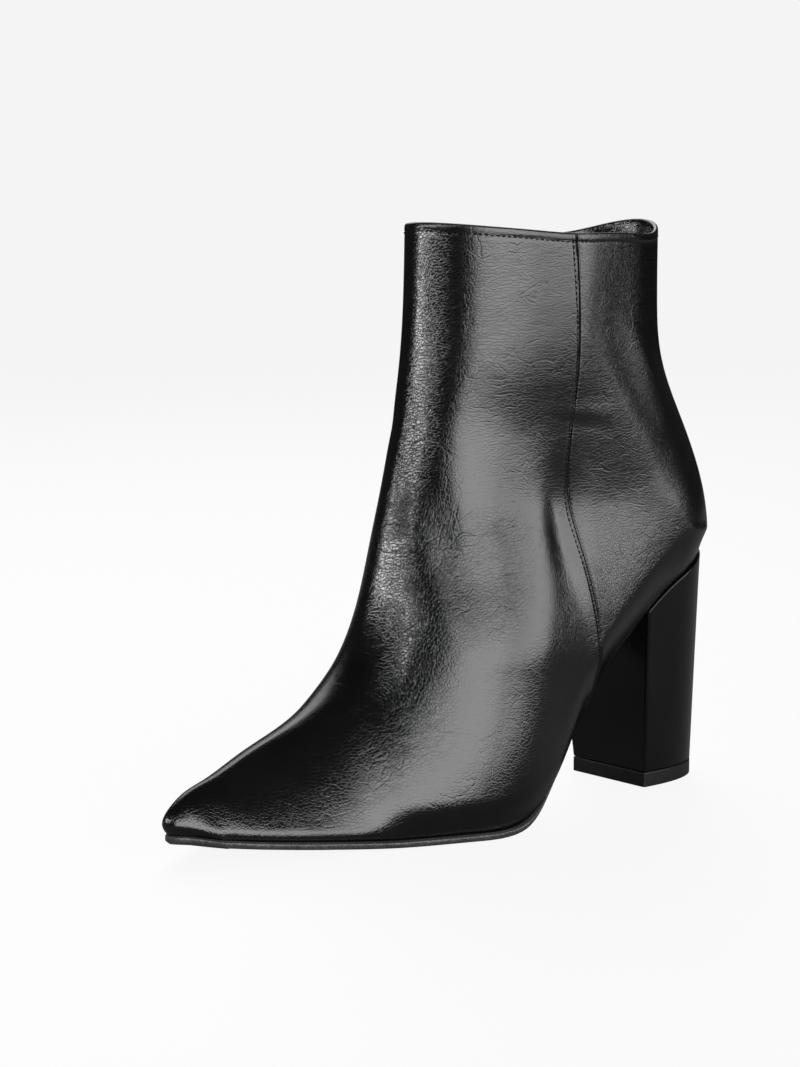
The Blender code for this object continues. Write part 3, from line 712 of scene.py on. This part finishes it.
def makeUpper(size):
    ring, marks = upperRing(size)
    out = ringNormals(ring)
    ring = tuckedIn(ring, out)
    folds = creaseLift(ring)
    lift = folds + sideLift(ring) + seamLift(ring, marks, size) + zipLift(ring, marks) + collarLift(ring)
    skin = ring + out * lift[..., None]
    under = [ring[:, marks["seam"]] + out[:, marks["seam"]] * height for height in size["seamTurn"]]
    at = marks["seam"] + 1
    skin = np.insert(skin, [at, at], np.stack(under, 1), axis=1)
    wide = np.insert(out, [at, at], np.stack([out[:, marks["seam"]]] * 2, 1), axis=1)
    shown = dict(marks)
    for name in ("back", "zipBack", "zipFront"):
        shown[name] += 2
    rows, cols = skin.shape[:2]
    faces = gridFaces(rows, cols, shown)
    points = list(skin.reshape(-1, 3))

    def vertex(row, col):
        return row * cols + col % cols

    top = rows - 1
    rim = [vertex(top, col) for col in range(shown["zipFront"], shown["zipBack"] + cols + 1)]
    rimOut = np.array([wide.reshape(-1, 3)[k] for k in rim])
    flatSkin = skin.reshape(-1, 3)
    below = np.array([flatSkin[k - size["lipRows"] * cols] - flatSkin[k] for k in rim])
    below /= np.linalg.norm(below, axis=1, keepdims=True)
    wall = last["wall"]
    angles = [math.radians(degrees) for degrees in (25, 55, 90, 125, 155, 180)]
    turn = [(wall / 2 * (math.cos(angle) - 1), -0.7 * math.sin(angle)) for angle in angles]
    facing = [  # edge turned in
        (-wall - 0.15, 1.5), (-wall - 0.2, 4.0), (-wall - 0.2, 8.0), (-wall + 0.3, 8.6),
    ]
    addLip(points, faces, rim, rimOut, below, turn + facing)
    slot = [vertex(row, shown["zipBack"]) for row in range(top, shown["slotRow"] - 1, -1)]
    slot += [vertex(shown["slotRow"], col) for col in range(shown["zipBack"] + 1, shown["zipFront"])]
    slot += [vertex(row, shown["zipFront"]) for row in range(shown["slotRow"], rows)]
    slotOut = np.array([wide.reshape(-1, 3)[k] for k in slot])
    addLip(points, faces, slot, slotOut, slotOut * 0, [(-0.5, 0), (-1.2, 0), (-2.0, 0)])
    foot = [vertex(0, col) for col in range(cols, -1, -1)]
    footOut = np.array([wide.reshape(-1, 3)[k] for k in foot]) * np.array([1, 1, 0])
    floorward = np.tile([0.0, 0.0, -1.0], (len(foot), 1))
    addLip(points, faces, foot, footOut, floorward, [(-0.5, 0.2), (-3.5, 0.24)])
    piece = makePiece("upperShell", placed(points), faces, upperHide)
    lining = ring + out * (np.minimum(folds, 0) - wall)[..., None]
    lining[0, :, 2] = ring[0, :, 2]
    deep = collarHeight(ring[..., 0]) - ring[..., 2]
    lining[..., 2] -= np.maximum(size["liningTop"] - deep, 0)
    rows, cols = lining.shape[:2]
    faces = [tuple(reversed(face)) for face in gridFaces(rows, cols, marks)]
    inside = makePiece("lining", placed(lining.reshape(-1, 3)), faces, liningHide)
    return piece, inside, ring, out, lift, marks


upperShell, lining, ring, ringOut, ringLift, marks = makeUpper(upper)
settle(upperShell, "boot", "upper_leather", "upper")
settle(lining, "boot", "upper_leather")
print("upper made:", len(upperShell.data.polygons), "faces, lining", len(lining.data.polygons))

# Stitches
stitch = {"length": 1.55, "pitch": 2.1, "thick": 0.55, "sides": 6, "rise": 0.2, "sink": 0.12, "start": 1.0}


def strandRing(centre, across, out, girth, sides):
    angles = [2 * math.pi * k / sides for k in range(sides)]
    return [centre + (across * math.cos(angle) + out * math.sin(angle)) * girth for angle in angles]


def addStrand(points, faces, rings):  # closed strand through rings of equal size
    base, sides, end = len(points), len(rings[0]), len(rings) - 1
    points.extend(spot for section in rings for spot in section)
    faces += [tuple(base + n for n in bandFace(row, k, sides)) for row in range(end) for k in range(sides)]
    faces.append(tuple(base + k for k in reversed(range(sides))))
    faces.append(tuple(base + end * sides + k for k in range(sides)))


def stitchRow(line, normals, size):
    reach = travel(line)
    points, faces = [], []
    for start in np.arange(size["start"], reach[-1] - size["length"], size["pitch"]):
        spans = []
        for share in (0.0, 0.22, 0.5, 0.78, 1.0):
            at = start + share * size["length"]
            spot = np.array([np.interp(at, reach, line[:, k]) for k in range(3)])
            out = np.array([np.interp(at, reach, normals[:, k]) for k in range(3)])
            spans.append((spot, out / np.linalg.norm(out), share))
        ahead = spans[-1][0] - spans[0][0]
        ahead /= np.linalg.norm(ahead)
        rings = []
        for spot, out, share in spans:
            bulge = math.sqrt(max(1 - (2 * share - 1) ** 2, 0.0))
            centre = spot + out * (size["rise"] * bulge - size["sink"])
            girth = size["thick"] / 2 * (0.35 + 0.65 * bulge)
            rings.append(strandRing(centre, np.cross(ahead, out), out, girth, size["sides"]))
        addStrand(points, faces, rings)
    return points, faces


def pathAt(column, distance, step):  # the skin at a set distance from a column of the ring, on one side
    cols = np.arange(column, column + step * 40, step) % ring.shape[1]
    skin = ring[:, cols] + ringOut[:, cols] * ringLift[:, cols][..., None]
    spots = []
    for run, line in zip(ring[:, cols], skin):
        reach = travel(run)
        spots.append([np.interp(distance, reach, line[:, k]) for k in range(3)])
    return np.array(spots), ringOut[:, cols[4]]


def collarPath(depth):
    near = slice(-26, None)  # rows close to the collar
    spots, normals = [], []
    for col in range(ring.shape[1]):
        if marks["zipBack"] < col < marks["zipFront"]:
            continue
        below = collarHeight(ring[near, col, 0]) - ring[near, col, 2]
        skin = ring[near, col] + ringOut[near, col] * ringLift[near, col, None]
        spots.append([np.interp(depth, below[::-1], skin[::-1, k]) for k in range(3)])
        normals.append(ringOut[-8, col])
    start = marks["zipBack"] + 1
    order = list(range(start, len(spots))) + list(range(0, start))
    return np.array(spots)[order], np.array(normals)[order]


def makeStitches(name, paths, size):
    points, faces = [], []
    for line, normals in paths:
        more, moreFaces = stitchRow(line, normals, size)
        faces += [tuple(k + len(points) for k in face) for face in moreFaces]
        points += more
    piece = makePiece(name, placed(points), faces, threadTwist)
    turnOutward(piece)
    return settle(piece, "boot", "upper_leather")


zipRows = []
for column, step in ((marks["zipBack"], -1), (marks["zipFront"], 1)):
    line, normals = pathAt(column, upper["zipStitch"], step)
    zipRows.append((line[marks["slotRow"]:], normals[marks["slotRow"]:]))
makeStitches("seamStitches", [pathAt(marks["seam"], upper["seamStitch"], -1)], stitch)
makeStitches("collarStitches", [collarPath(upper["collarStitch"])], stitch)
makeStitches("zipStitches", zipRows, stitch)
print("stitches made")

# Sole, insole and heel
sole = {
    "gap": 0.3, "ledge": 0.8, "toeLedge": -1.0, "toeReach": 30.0, "thickness": 3.0, "edge": 2.2,
    "bead": 0.28, "shankLedge": -2.6, "shank": 1.8, "shankFrom": 122.0, "shankTo": 150.0, "treadInset": 5.0,
    "stations": 110, "breastGap": 1.0, "round": 0.45,
}
heel = {
    "breastTop": 208.0, "breastFoot": 212.0, "footDepth": 40.0, "footWidth": 41.0, "round": 2.6, "set": 0.7,
    "topPiece": 5.8, "stations": 40, "corner": 1.2, "edge": 0.5, "levels": 10,
    "liftEdge": 0.35, "liftLevels": 3,
}
insole = {"thickness": 2.2, "inset": 3.9, "crown": 0.8, "foreStations": 80, "seatStations": 26}


def planOutline(along, side, spread):
    half = halfWidth(along, edgeHeight(along), side)
    tangent = np.c_[np.gradient(along), np.gradient(half)]
    tangent /= np.linalg.norm(tangent, axis=1, keepdims=True)
    spread = np.broadcast_to(spread, along.shape)
    return np.c_[along - tangent[:, 1] * spread, np.maximum(half + tangent[:, 0] * spread, 0)]


def levelRing(outer, inner, heights):
    outerPoints = np.c_[outer[:, 0], -outer[:, 1], heights(outer[:, 0])]
    innerPoints = np.c_[inner[:, 0], inner[:, 1], heights(inner[:, 0])]
    outerPoints[0, 1] = 0
    return np.concatenate([outerPoints[::-1], innerPoints[1:]])


def stackRings(name, rings, material):
    size = len(rings[0])
    faces = [bandFace(level, k, size) for level in range(len(rings) - 1) for k in range(size)]
    end = (len(rings) - 1) * size
    for k in range(size // 2):
        other = size - 1 - k
        for start in (0, end):
            strip = [start + k, start + k + 1, start + other - 1, start + other]
            faces.append(tuple(strip[:3] if k + 1 == other - 1 else strip))
    piece = makePiece(name, placed(np.concatenate(rings)), faces, material)
    turnOutward(piece)
    return piece


def addBevel(piece, width, segments=3, angle=40):
    bevel = piece.modifiers.new("softEdges", "BEVEL")
    bevel.width = width * 0.001
    bevel.segments = segments
    bevel.limit_method = "ANGLE"
    bevel.angle_limit = math.radians(angle)
    piece.modifiers.new("evenNormals", "WEIGHTED_NORMAL").weight = 90


def shankShare(along):
    return ease(sole["shankFrom"], sole["shankTo"], along)


def soleTop(along):
    return edgeHeight(along) - sole["gap"]


def makeOutsole(size):
    along = (heel["breastTop"] - size["breastGap"]) * fromToe(size["stations"])
    share = shankShare(along)
    fromTip = ease(0, size["toeReach"], along)
    ledge = size["toeLedge"] + (size["ledge"] - size["toeLedge"]) * fromTip
    ledge += (size["shankLedge"] - ledge) * share
    treadInset = size["treadInset"] * (0.4 + 0.6 * fromTip)

    def outline(inset):
        return [planOutline(along, side, ledge - inset) for side in ("outer", "inner")]

    def foot(place):
        edge = size["edge"] - (size["edge"] - size["shank"] + 0.6) * shankShare(place)
        return soleTop(place) - edge

    def tread(place):
        thick = size["thickness"] + (size["shank"] - size["thickness"]) * shankShare(place)
        return np.maximum(soleTop(place) - thick, 0)

    def bead(place):
        return soleTop(place) + size["bead"] * (1 - shankShare(place))

    def underEdge(place):
        return 0.35 * foot(place) + 0.65 * tread(place)

    soft = size["round"]
    steps = (  # inset, surface and rise over it, from the lasting margin round the edge to the tread
        (3.2, soleTop, 0), (1.5, bead, 0), (1.05, bead, 0), (0.8, soleTop, 0), (0.35, soleTop, 0),
        (0.08, soleTop, -0.2), (0, soleTop, -soft), (0, foot, soft), (0.12, foot, 0.15), (0.5, foot, -0.05),
        (treadInset * 0.6, underEdge, 0), (treadInset, tread, 0),
    )
    rings = [
        levelRing(*outline(inset), lambda place: surface(place) + rise) for inset, surface, rise in steps
    ]
    return stackRings("outsoleShell", rings, soleRubber)


def seatStations(count):
    return heel["breastTop"] + (last["length"] - heel["breastTop"]) * toHeel(count)


def makeInsole(size):
    front = (heel["breastTop"] - sole["breastGap"]) * fromToe(size["foreStations"])
    along = np.r_[front, seatStations(size["seatStations"])]

    def outline(inset):
        rim = [planOutline(along, side, -inset) for side in ("outer", "inner")]
        for line in rim:
            line[-1, 1] = 0
        return rim

    thick, crown, start = size["thickness"], size["crown"], size["inset"]
    steps = (  # inset and rise
        (9, thick + crown), (4, thick + 0.7 * crown), (1.2, 0.95 * thick), (0, 0.6 * thick), (0, 0),
    )
    rings = [
        levelRing(*outline(start + inset), lambda place: edgeHeight(place) + rise) for inset, rise in steps
    ]
    return stackRings("insoleSock", rings, liningHide)


def roundCorner(line, front, radius):  # side outline from back to front, its corner at the breast rounded
    half = line[-1, 1]
    turn = np.radians(np.linspace(0, 90, 6))
    arc = np.c_[front + radius * (1 - np.sin(turn)), half - radius * (1 - np.cos(turn))]
    return np.r_[line[:-1], arc, [[front, half - radius - 0.4]]]


def heelRings(size):
    shares = toHeel(size["stations"])
    seat = seatStations(size["stations"])
    top = [planOutline(seat, side, -size["set"])[::-1] for side in ("outer", "inner")]
    for line in top:
        line[0, 1] = 0
    half = size["footWidth"] / 2 * np.sqrt(np.clip(1 - shares ** size["round"], 0, 1))
    foot = np.c_[size["breastFoot"] + size["footDepth"] * shares, half][::-1]
    top = [roundCorner(line, size["breastTop"], size["corner"]) for line in top]
    foot = roundCorner(foot, size["breastFoot"], size["corner"])
    return levelRing(*top, soleTop), levelRing(foot, foot, lambda place: np.zeros_like(place))


def insetRing(ring, depth, rise):
    ahead = np.roll(ring, -1, axis=0) - np.roll(ring, 1, axis=0)
    inward = np.c_[-ahead[:, 1], ahead[:, 0]]
    inward /= np.linalg.norm(inward, axis=1, keepdims=True)
    inward *= np.sign(((ring[:, :2].mean(axis=0) - ring[:, :2]) * inward).sum())
    return ring + np.c_[inward * depth, np.full(len(ring), rise)]


def softSolid(name, top, foot, soft, levels, material):  # rounded upper and lower edges
    bend = ((1.0, 0.0), (0.62, 0.08), (0.29, 0.29), (0.08, 0.62), (0.0, 1.0), (0.0, 1.6))
    rings = [insetRing(top, soft * depth, -soft * drop) for depth, drop in bend]
    rings += [top + (foot - top) * share for share in np.linspace(0, 1, levels)[1:-1]]
    rings += [insetRing(foot, soft * depth, soft * drop) for depth, drop in reversed(bend)]
    return stackRings(name, rings, material)


def makeHeel(size):
    top, foot = heelRings(size)
    base = foot + np.array([0, 0, size["topPiece"] + sole["gap"]])
    block = softSolid("heelStack", top, base, size["edge"], size["levels"], heelCover)
    lift = foot + np.array([0, 0, size["topPiece"]])
    return block, softSolid("heelLift", lift, foot, size["liftEdge"], size["liftLevels"], wearRubber)


settle(makeOutsole(sole), "boot", "sole_rubber", "outsole")
settle(makeInsole(insole), "boot", "insole_lining", "insole")
heelStack, heelLift = makeHeel(heel)
settle(heelStack, "boot", "heel_cover", "heel_block")
settle(heelLift, "boot", "wear_rubber", "heel_top_piece")
print("sole and heel made")

# Side zip
zipSizes = {
    "foot": upper["zipFoot"], "belowCollar": 2.5,
    "tapeWidth": 17.0, "tapeThick": 0.8, "tapeDepth": 2.4, "tapeBelow": 6.0, "tapeCord": (0.25, 2.9, 0.5),
    "coilWidth": 4.2, "coilDepth": 1.15, "coilPitch": 1.3, "coilSides": 6, "coilEnds": (4.0, 1.5),
    "slider": (6.4, 8.6, 1.8), "sliderUp": 205.0, "sliderEdge": 0.22, "bridge": (1.6, 5.2, 2.9), "bar": 0.9,
    "pull": (5.6, 21.0, 1.2), "pullEdge": 0.25, "window": (2.5, 4.0), "pinBar": 0.6, "lowered": -0.2,
}


def zipPlace(up):
    return np.interp(up, seamLine[:, 1], seamLine[:, 0] - upper["zipAhead"])


zipHead = float(collarHeight(zipPlace(zipSizes["sliderUp"]))) - zipSizes["belowCollar"]


def makeTape(size):
    levels = np.linspace(size["foot"] - size["tapeBelow"], zipHead, 120)
    across = np.linspace(-0.5, 0.5, 15) * size["tapeWidth"]
    along = zipPlace(levels)[:, None] + across[None]
    up = np.broadcast_to(levels[:, None], along.shape)
    spots, out = skinPoint(along, up, "inner"), skinNormal(along, up, "inner")
    height, apart, width = size["tapeCord"]
    cord = height * (hill(across, -apart, width) + hill(across, apart, width))
    front = spots - out * (size["tapeDepth"] - cord)[None, :, None]
    rear = spots - out * (size["tapeDepth"] + size["tapeThick"])
    rings = np.concatenate([front[:, ::-1], rear], axis=1)
    count = rings.shape[1]
    faces = [bandFace(level, k, count) for level in range(len(levels) - 1) for k in range(count)]
    end = (len(levels) - 1) * count
    for k in range(count // 2 - 1):
        other = count - 1 - k
        faces.append((k, other, other - 1, k + 1))
        faces.append((end + k, end + k + 1, end + other - 1, end + other))
    piece = makePiece("zipTape", placed(rings.reshape(-1, 3)), faces, zipCloth)
    turnOutward(piece)
    return piece


def zipFrames(levels):
    along = zipPlace(levels)
    spots, out = skinPoint(along, levels, "inner"), skinNormal(along, levels, "inner")
    ahead = np.gradient(spots, axis=0)
    ahead /= np.linalg.norm(ahead, axis=1, keepdims=True)
    across = np.cross(ahead, out)
    return spots, out, ahead, across / np.linalg.norm(across, axis=1, keepdims=True)


def makeCoil(size):
    low, high = size["coilEnds"]
    levels = np.arange(size["foot"] + low, zipHead - high, size["coilPitch"] / 2)
    spots, out, ahead, across = zipFrames(levels)
    points, faces = [], []
    tooth = (  # share of the width, half thickness, depth
        (-0.32, 0.30, 0.5), (-0.18, 0.44, 0.1), (0.2, 0.5, 0.0), (0.42, 0.46, 0.05), (0.5, 0.26, 0.3),
    )
    for k in range(len(levels)):
        hand = 1 if k % 2 else -1  # teeth from the two sides in turn
        rings = []
        for run, girth, sink in tooth:
            sideways = across[k] * hand * run * size["coilWidth"]
            centre = spots[k] - out[k] * (size["coilDepth"] + sink) + sideways
            rings.append(strandRing(centre, ahead[k], out[k], girth, size["coilSides"]))
        addStrand(points, faces, rings)
    piece = makePiece("zipCoil", placed(points), faces, zipCoilPlastic)
    turnOutward(piece)
    return piece


def sliderFrame(size):  # X across the zip, Y down it, Z out of the wall
    up = np.array([size["sliderUp"], size["sliderUp"] - 5])
    spots, out = skinPoint(zipPlace(up), up, "inner"), skinNormal(zipPlace(up), up, "inner")
    facing = Vector(out[0])
    down = Vector(spots[1] - spots[0])
    down = (down - facing * down.dot(facing)).normalized()
    turn = Matrix((down.cross(facing), down, facing)).transposed().to_4x4()
    return Matrix.Translation(Vector(placed(spots[0]))) @ turn


def plate(outline, low, high):  # flat outline in millimetres between two heights
    count = len(outline)
    points = [(x, y, z) for z in (low, high) for x, y in outline]
    faces = [tuple(reversed(range(count))), tuple(range(count, 2 * count))]
    faces += [bandFace(0, k, count) for k in range(count)]
    return points, faces


def joined(solids):
    points, faces = [], []
    for more, moreFaces in solids:
        faces += [tuple(k + len(points) for k in face) for face in moreFaces]
        points += more
    return np.array(points) * 0.001, faces


def arch(width, length, height, bar, base):  # bridge over the slider that holds the pull tab
    outer, inner = [], []
    for k in range(13):
        angle = math.pi * k / 12
        outer.append((-length / 2 * math.cos(angle), base + height * math.sin(angle) ** 0.5))
        inner.append((-(length / 2 - bar) * math.cos(angle), base + (height - bar) * math.sin(angle) ** 0.5))
    border = outer + inner[::-1]
    points = [(x, y, z) for x in (-width / 2, width / 2) for y, z in border]
    count, half = len(border), len(outer)
    faces = [bandFace(0, k, count) for k in range(count)]
    for k in range(half - 1):
        strip = (k, k + 1, count - 2 - k, count - 1 - k)
        faces += [strip, tuple(count + n for n in reversed(strip))]
    return points, faces


def makeSlider(size):
    width, length, thick = size["slider"]
    low = size["lowered"]
    shield = [(-0.5, -0.36), (-0.42, -0.47), (-0.14, -0.5), (0, -0.44), (0.14, -0.5),
              (0.42, -0.47), (0.5, -0.36), (0.47, 0.0), (0.36, 0.40), (0.27, 0.5),
              (-0.27, 0.5), (-0.36, 0.40), (-0.47, 0.0)]
    face = [(x * width, y * length) for x, y in shield]
    inset = [(x * 0.72, y * 0.78) for x, y in face]
    solids = [plate(face, low, low + thick - 0.35), plate(inset, low + thick - 0.4, low + thick),
              arch(*size["bridge"], size["bar"], low + thick - 0.05)]
    piece = makePiece("zipSlider", *joined(solids), zipMetal, smooth=False)
    turnOutward(piece)
    piece.matrix_world = sliderFrame(size)
    addBevel(piece, size["sliderEdge"])
    return piece


def makePull(size):
    width, length, thick = size["pull"]
    windowWidth, windowLength = size["window"]
    head, bar = -size["pinBar"], size["pinBar"]
    halfTop, halfMid = width / 2, width / 2 * 0.8
    right = [(halfTop * 0.8, head), (halfTop, head + 0.8), (halfTop, windowLength + 0.8),
             (halfMid, windowLength + 3.0), (halfMid * 0.96, length - 6), (halfTop * 0.96, length - 3.2),
             (halfTop * 0.9, length - 1.3), (halfTop * 0.5, length)]
    window = [(windowWidth / 2, bar), (windowWidth / 2, windowLength)]
    points, faces = [], []
    for z in (-thick / 2, thick / 2):
        for hand in (1, -1):
            points += [(hand * x, y, z) for x, y in right + window]
    step, layer = len(right) + 2, 2 * (len(right) + 2)
    n = len(right)
    for level, turn in ((0, -1), (layer, 1)):
        r, l = level, level + step
        flat = [(r + 0, r + 1, r + 2, r + n + 1, r + n), (l + 0, l + n, l + n + 1, l + 2, l + 1),
                (r + 0, r + n, l + n, l + 0), (r + n + 1, r + 2, l + 2, l + n + 1)]
        flat += [(r + k, r + k + 1, l + k + 1, l + k) for k in range(2, n - 1)]
        faces += [face[::turn] for face in flat]
    edge = list(range(n)) + [step + k for k in reversed(range(n))]
    faces += [(here, after, layer + after, layer + here) for here, after in zip(edge, edge[1:] + edge[:1])]
    rim = [n, n + 1, step + n + 1, step + n]
    faces += [(rim[k], layer + rim[k], layer + rim[(k + 1) % 4], rim[(k + 1) % 4]) for k in range(4)]
    piece = makePiece("zipPull", np.array(points) * 0.001, faces, zipMetal, smooth=False)
    turnOutward(piece)
    pin = size["lowered"] + size["slider"][2] + (size["bridge"][2] - size["bar"]) / 2
    piece.matrix_world = sliderFrame(size) @ Matrix.Translation((0, 0, pin * 0.001))
    addBevel(piece, size["pullEdge"])
    return piece


settle(makeTape(zipSizes), "boot", "zip_cloth", "zip_tape")
settle(makeCoil(zipSizes), "boot", "zip_coil", "zip_chain")
settle(makeSlider(zipSizes), "boot", "zip_metal", "zip_slider")
settle(makePull(zipSizes), "pull_tab", "zip_metal", "zip_pull")
print("zip made")

# Floor, lights and camera
studio = {
    "side": 60.0, "floor": 0.22, "shownFloor": 0.022, "glow": 0.9, "sky": 0.905, "surround": 0.03,
    "aim": (0.0, 0.0, 0.09),
}
softboxes = {
    "boxes": (  # name, azimuth, elevation, distance, width, height, brightness
        ("sideSoftbox", -60, 13.5, 1.4, 1.5, 0.74, 5.0),
        ("frontSoftbox", -111, 14.5, 1.6, 1.42, 1.02, 6.4),
        ("backPanel", 65, 46, 1.9, 1.8, 2.1, 1.7),
    ),
    "layers": (0.86, 1.0, 1.14), "layerGap": 0.1,
}
slantStrip = {
    "bends": ((128, 7), (178, 17), (-157, 29)), "brightness": (17.0, 13.0), "distance": 1.1, "width": 0.075,
}
photoView = {
    "place": (-472.2, -701.8, 220.07), "heading": 50.57, "pitch": -7.095, "lens": 112.5, "sensor": 36.0,
}


def grey(level):
    return (level, level, level, 1)


def seenByCamera(tree, seen, other, surface):  # one shader for the camera, another for the light
    path = tree.nodes.new("ShaderNodeLightPath")
    mix = tree.nodes.new("ShaderNodeMixShader")
    tree.links.new(path.outputs["Is Camera Ray"], mix.inputs[0])
    tree.links.new(other.outputs[0], mix.inputs[1])
    tree.links.new(seen.outputs[0], mix.inputs[2])
    tree.links.new(mix.outputs[0], surface)


def makeFloor():
    side = studio["side"]
    corners = [(-side, -side, 0), (side, -side, 0), (side, side, 0), (-side, side, 0)]
    made, tree, shader = startFinish("paleFloor", {
        "Base Color": grey(studio["shownFloor"]), "Roughness": 0.7,
        "Emission Color": grey(1), "Emission Strength": studio["glow"]})
    dim = tree.nodes.new("ShaderNodeBsdfDiffuse")
    dim.inputs["Color"].default_value = grey(studio["floor"])
    seenByCamera(tree, shader, dim, tree.nodes["Material Output"].inputs["Surface"])
    floor = makePiece("floor", corners, [(0, 1, 2, 3)], made, smooth=False)


def makeWorld():
    world = bpy.data.worlds.new("paleRoom")
    bpy.context.scene.world = world
    world.use_nodes = True
    tree = world.node_tree
    shown = tree.nodes["Background"]
    shown.inputs["Color"].default_value = grey(studio["sky"])
    lit = tree.nodes.new("ShaderNodeBackground")
    lit.inputs["Color"].default_value = grey(1)
    lit.inputs["Strength"].default_value = studio["surround"]
    seenByCamera(tree, shown, lit, tree.nodes["World Output"].inputs["Surface"])


def towards(azimuth, elevation):
    a, e = math.radians(azimuth), math.radians(elevation)
    return Vector((math.cos(a) * math.cos(e), math.sin(a) * math.cos(e), math.sin(e)))


def makeSoftbox(name, centre, longAxis, width, height, brightness):
    lamp = bpy.data.lights.new(name, "AREA")
    lamp.shape = "RECTANGLE"
    lamp.size, lamp.size_y = width, height
    lamp.energy = brightness * math.pi * width * height
    box = bpy.data.objects.new(name, lamp)
    bpy.context.collection.objects.link(box)
    back = (centre - Vector(studio["aim"])).normalized()
    across = (longAxis - back * longAxis.dot(back)).normalized()
    turn = Matrix((across, back.cross(across), back)).transposed().to_4x4()
    box.matrix_world = Matrix.Translation(centre) @ turn
    box.visible_camera = False


def makeLights():
    aim = Vector(studio["aim"])
    layers = softboxes["layers"]
    for name, azimuth, elevation, distance, width, height, brightness in softboxes["boxes"]:
        across = Vector((0, 0, 1)).cross(towards(azimuth, 0))
        for share in layers:  # layers of growing size, so the edge is soft
            centre = aim + towards(azimuth, elevation) * (distance + softboxes["layerGap"] * share)
            makeSoftbox(name, centre, across, width * share, height * share, brightness / len(layers))
    bends = [aim + towards(*place) * slantStrip["distance"] for place in slantStrip["bends"]]
    for low, high, brightness in zip(bends, bends[1:], slantStrip["brightness"]):
        along = high - low
        makeSoftbox("slantStrip", (low + high) / 2, along, along.length, slantStrip["width"], brightness)


def makeCamera(look):
    data = bpy.data.cameras.new("photoCamera")
    data.sensor_fit, data.sensor_width, data.lens = "HORIZONTAL", look["sensor"], look["lens"]
    camera = bpy.data.objects.new("photoCamera", data)
    bpy.context.collection.objects.link(camera)
    ahead = towards(look["heading"], look["pitch"])
    camera.location = placed(look["place"])
    camera.rotation_euler = ahead.to_track_quat("-Z", "Y").to_euler()
    bpy.context.scene.camera = camera


makeFloor()
makeWorld()
makeLights()
makeCamera(photoView)
bpy.context.scene.view_settings.view_transform = "Standard"
bpy.context.view_layer.update()
print("studio made")
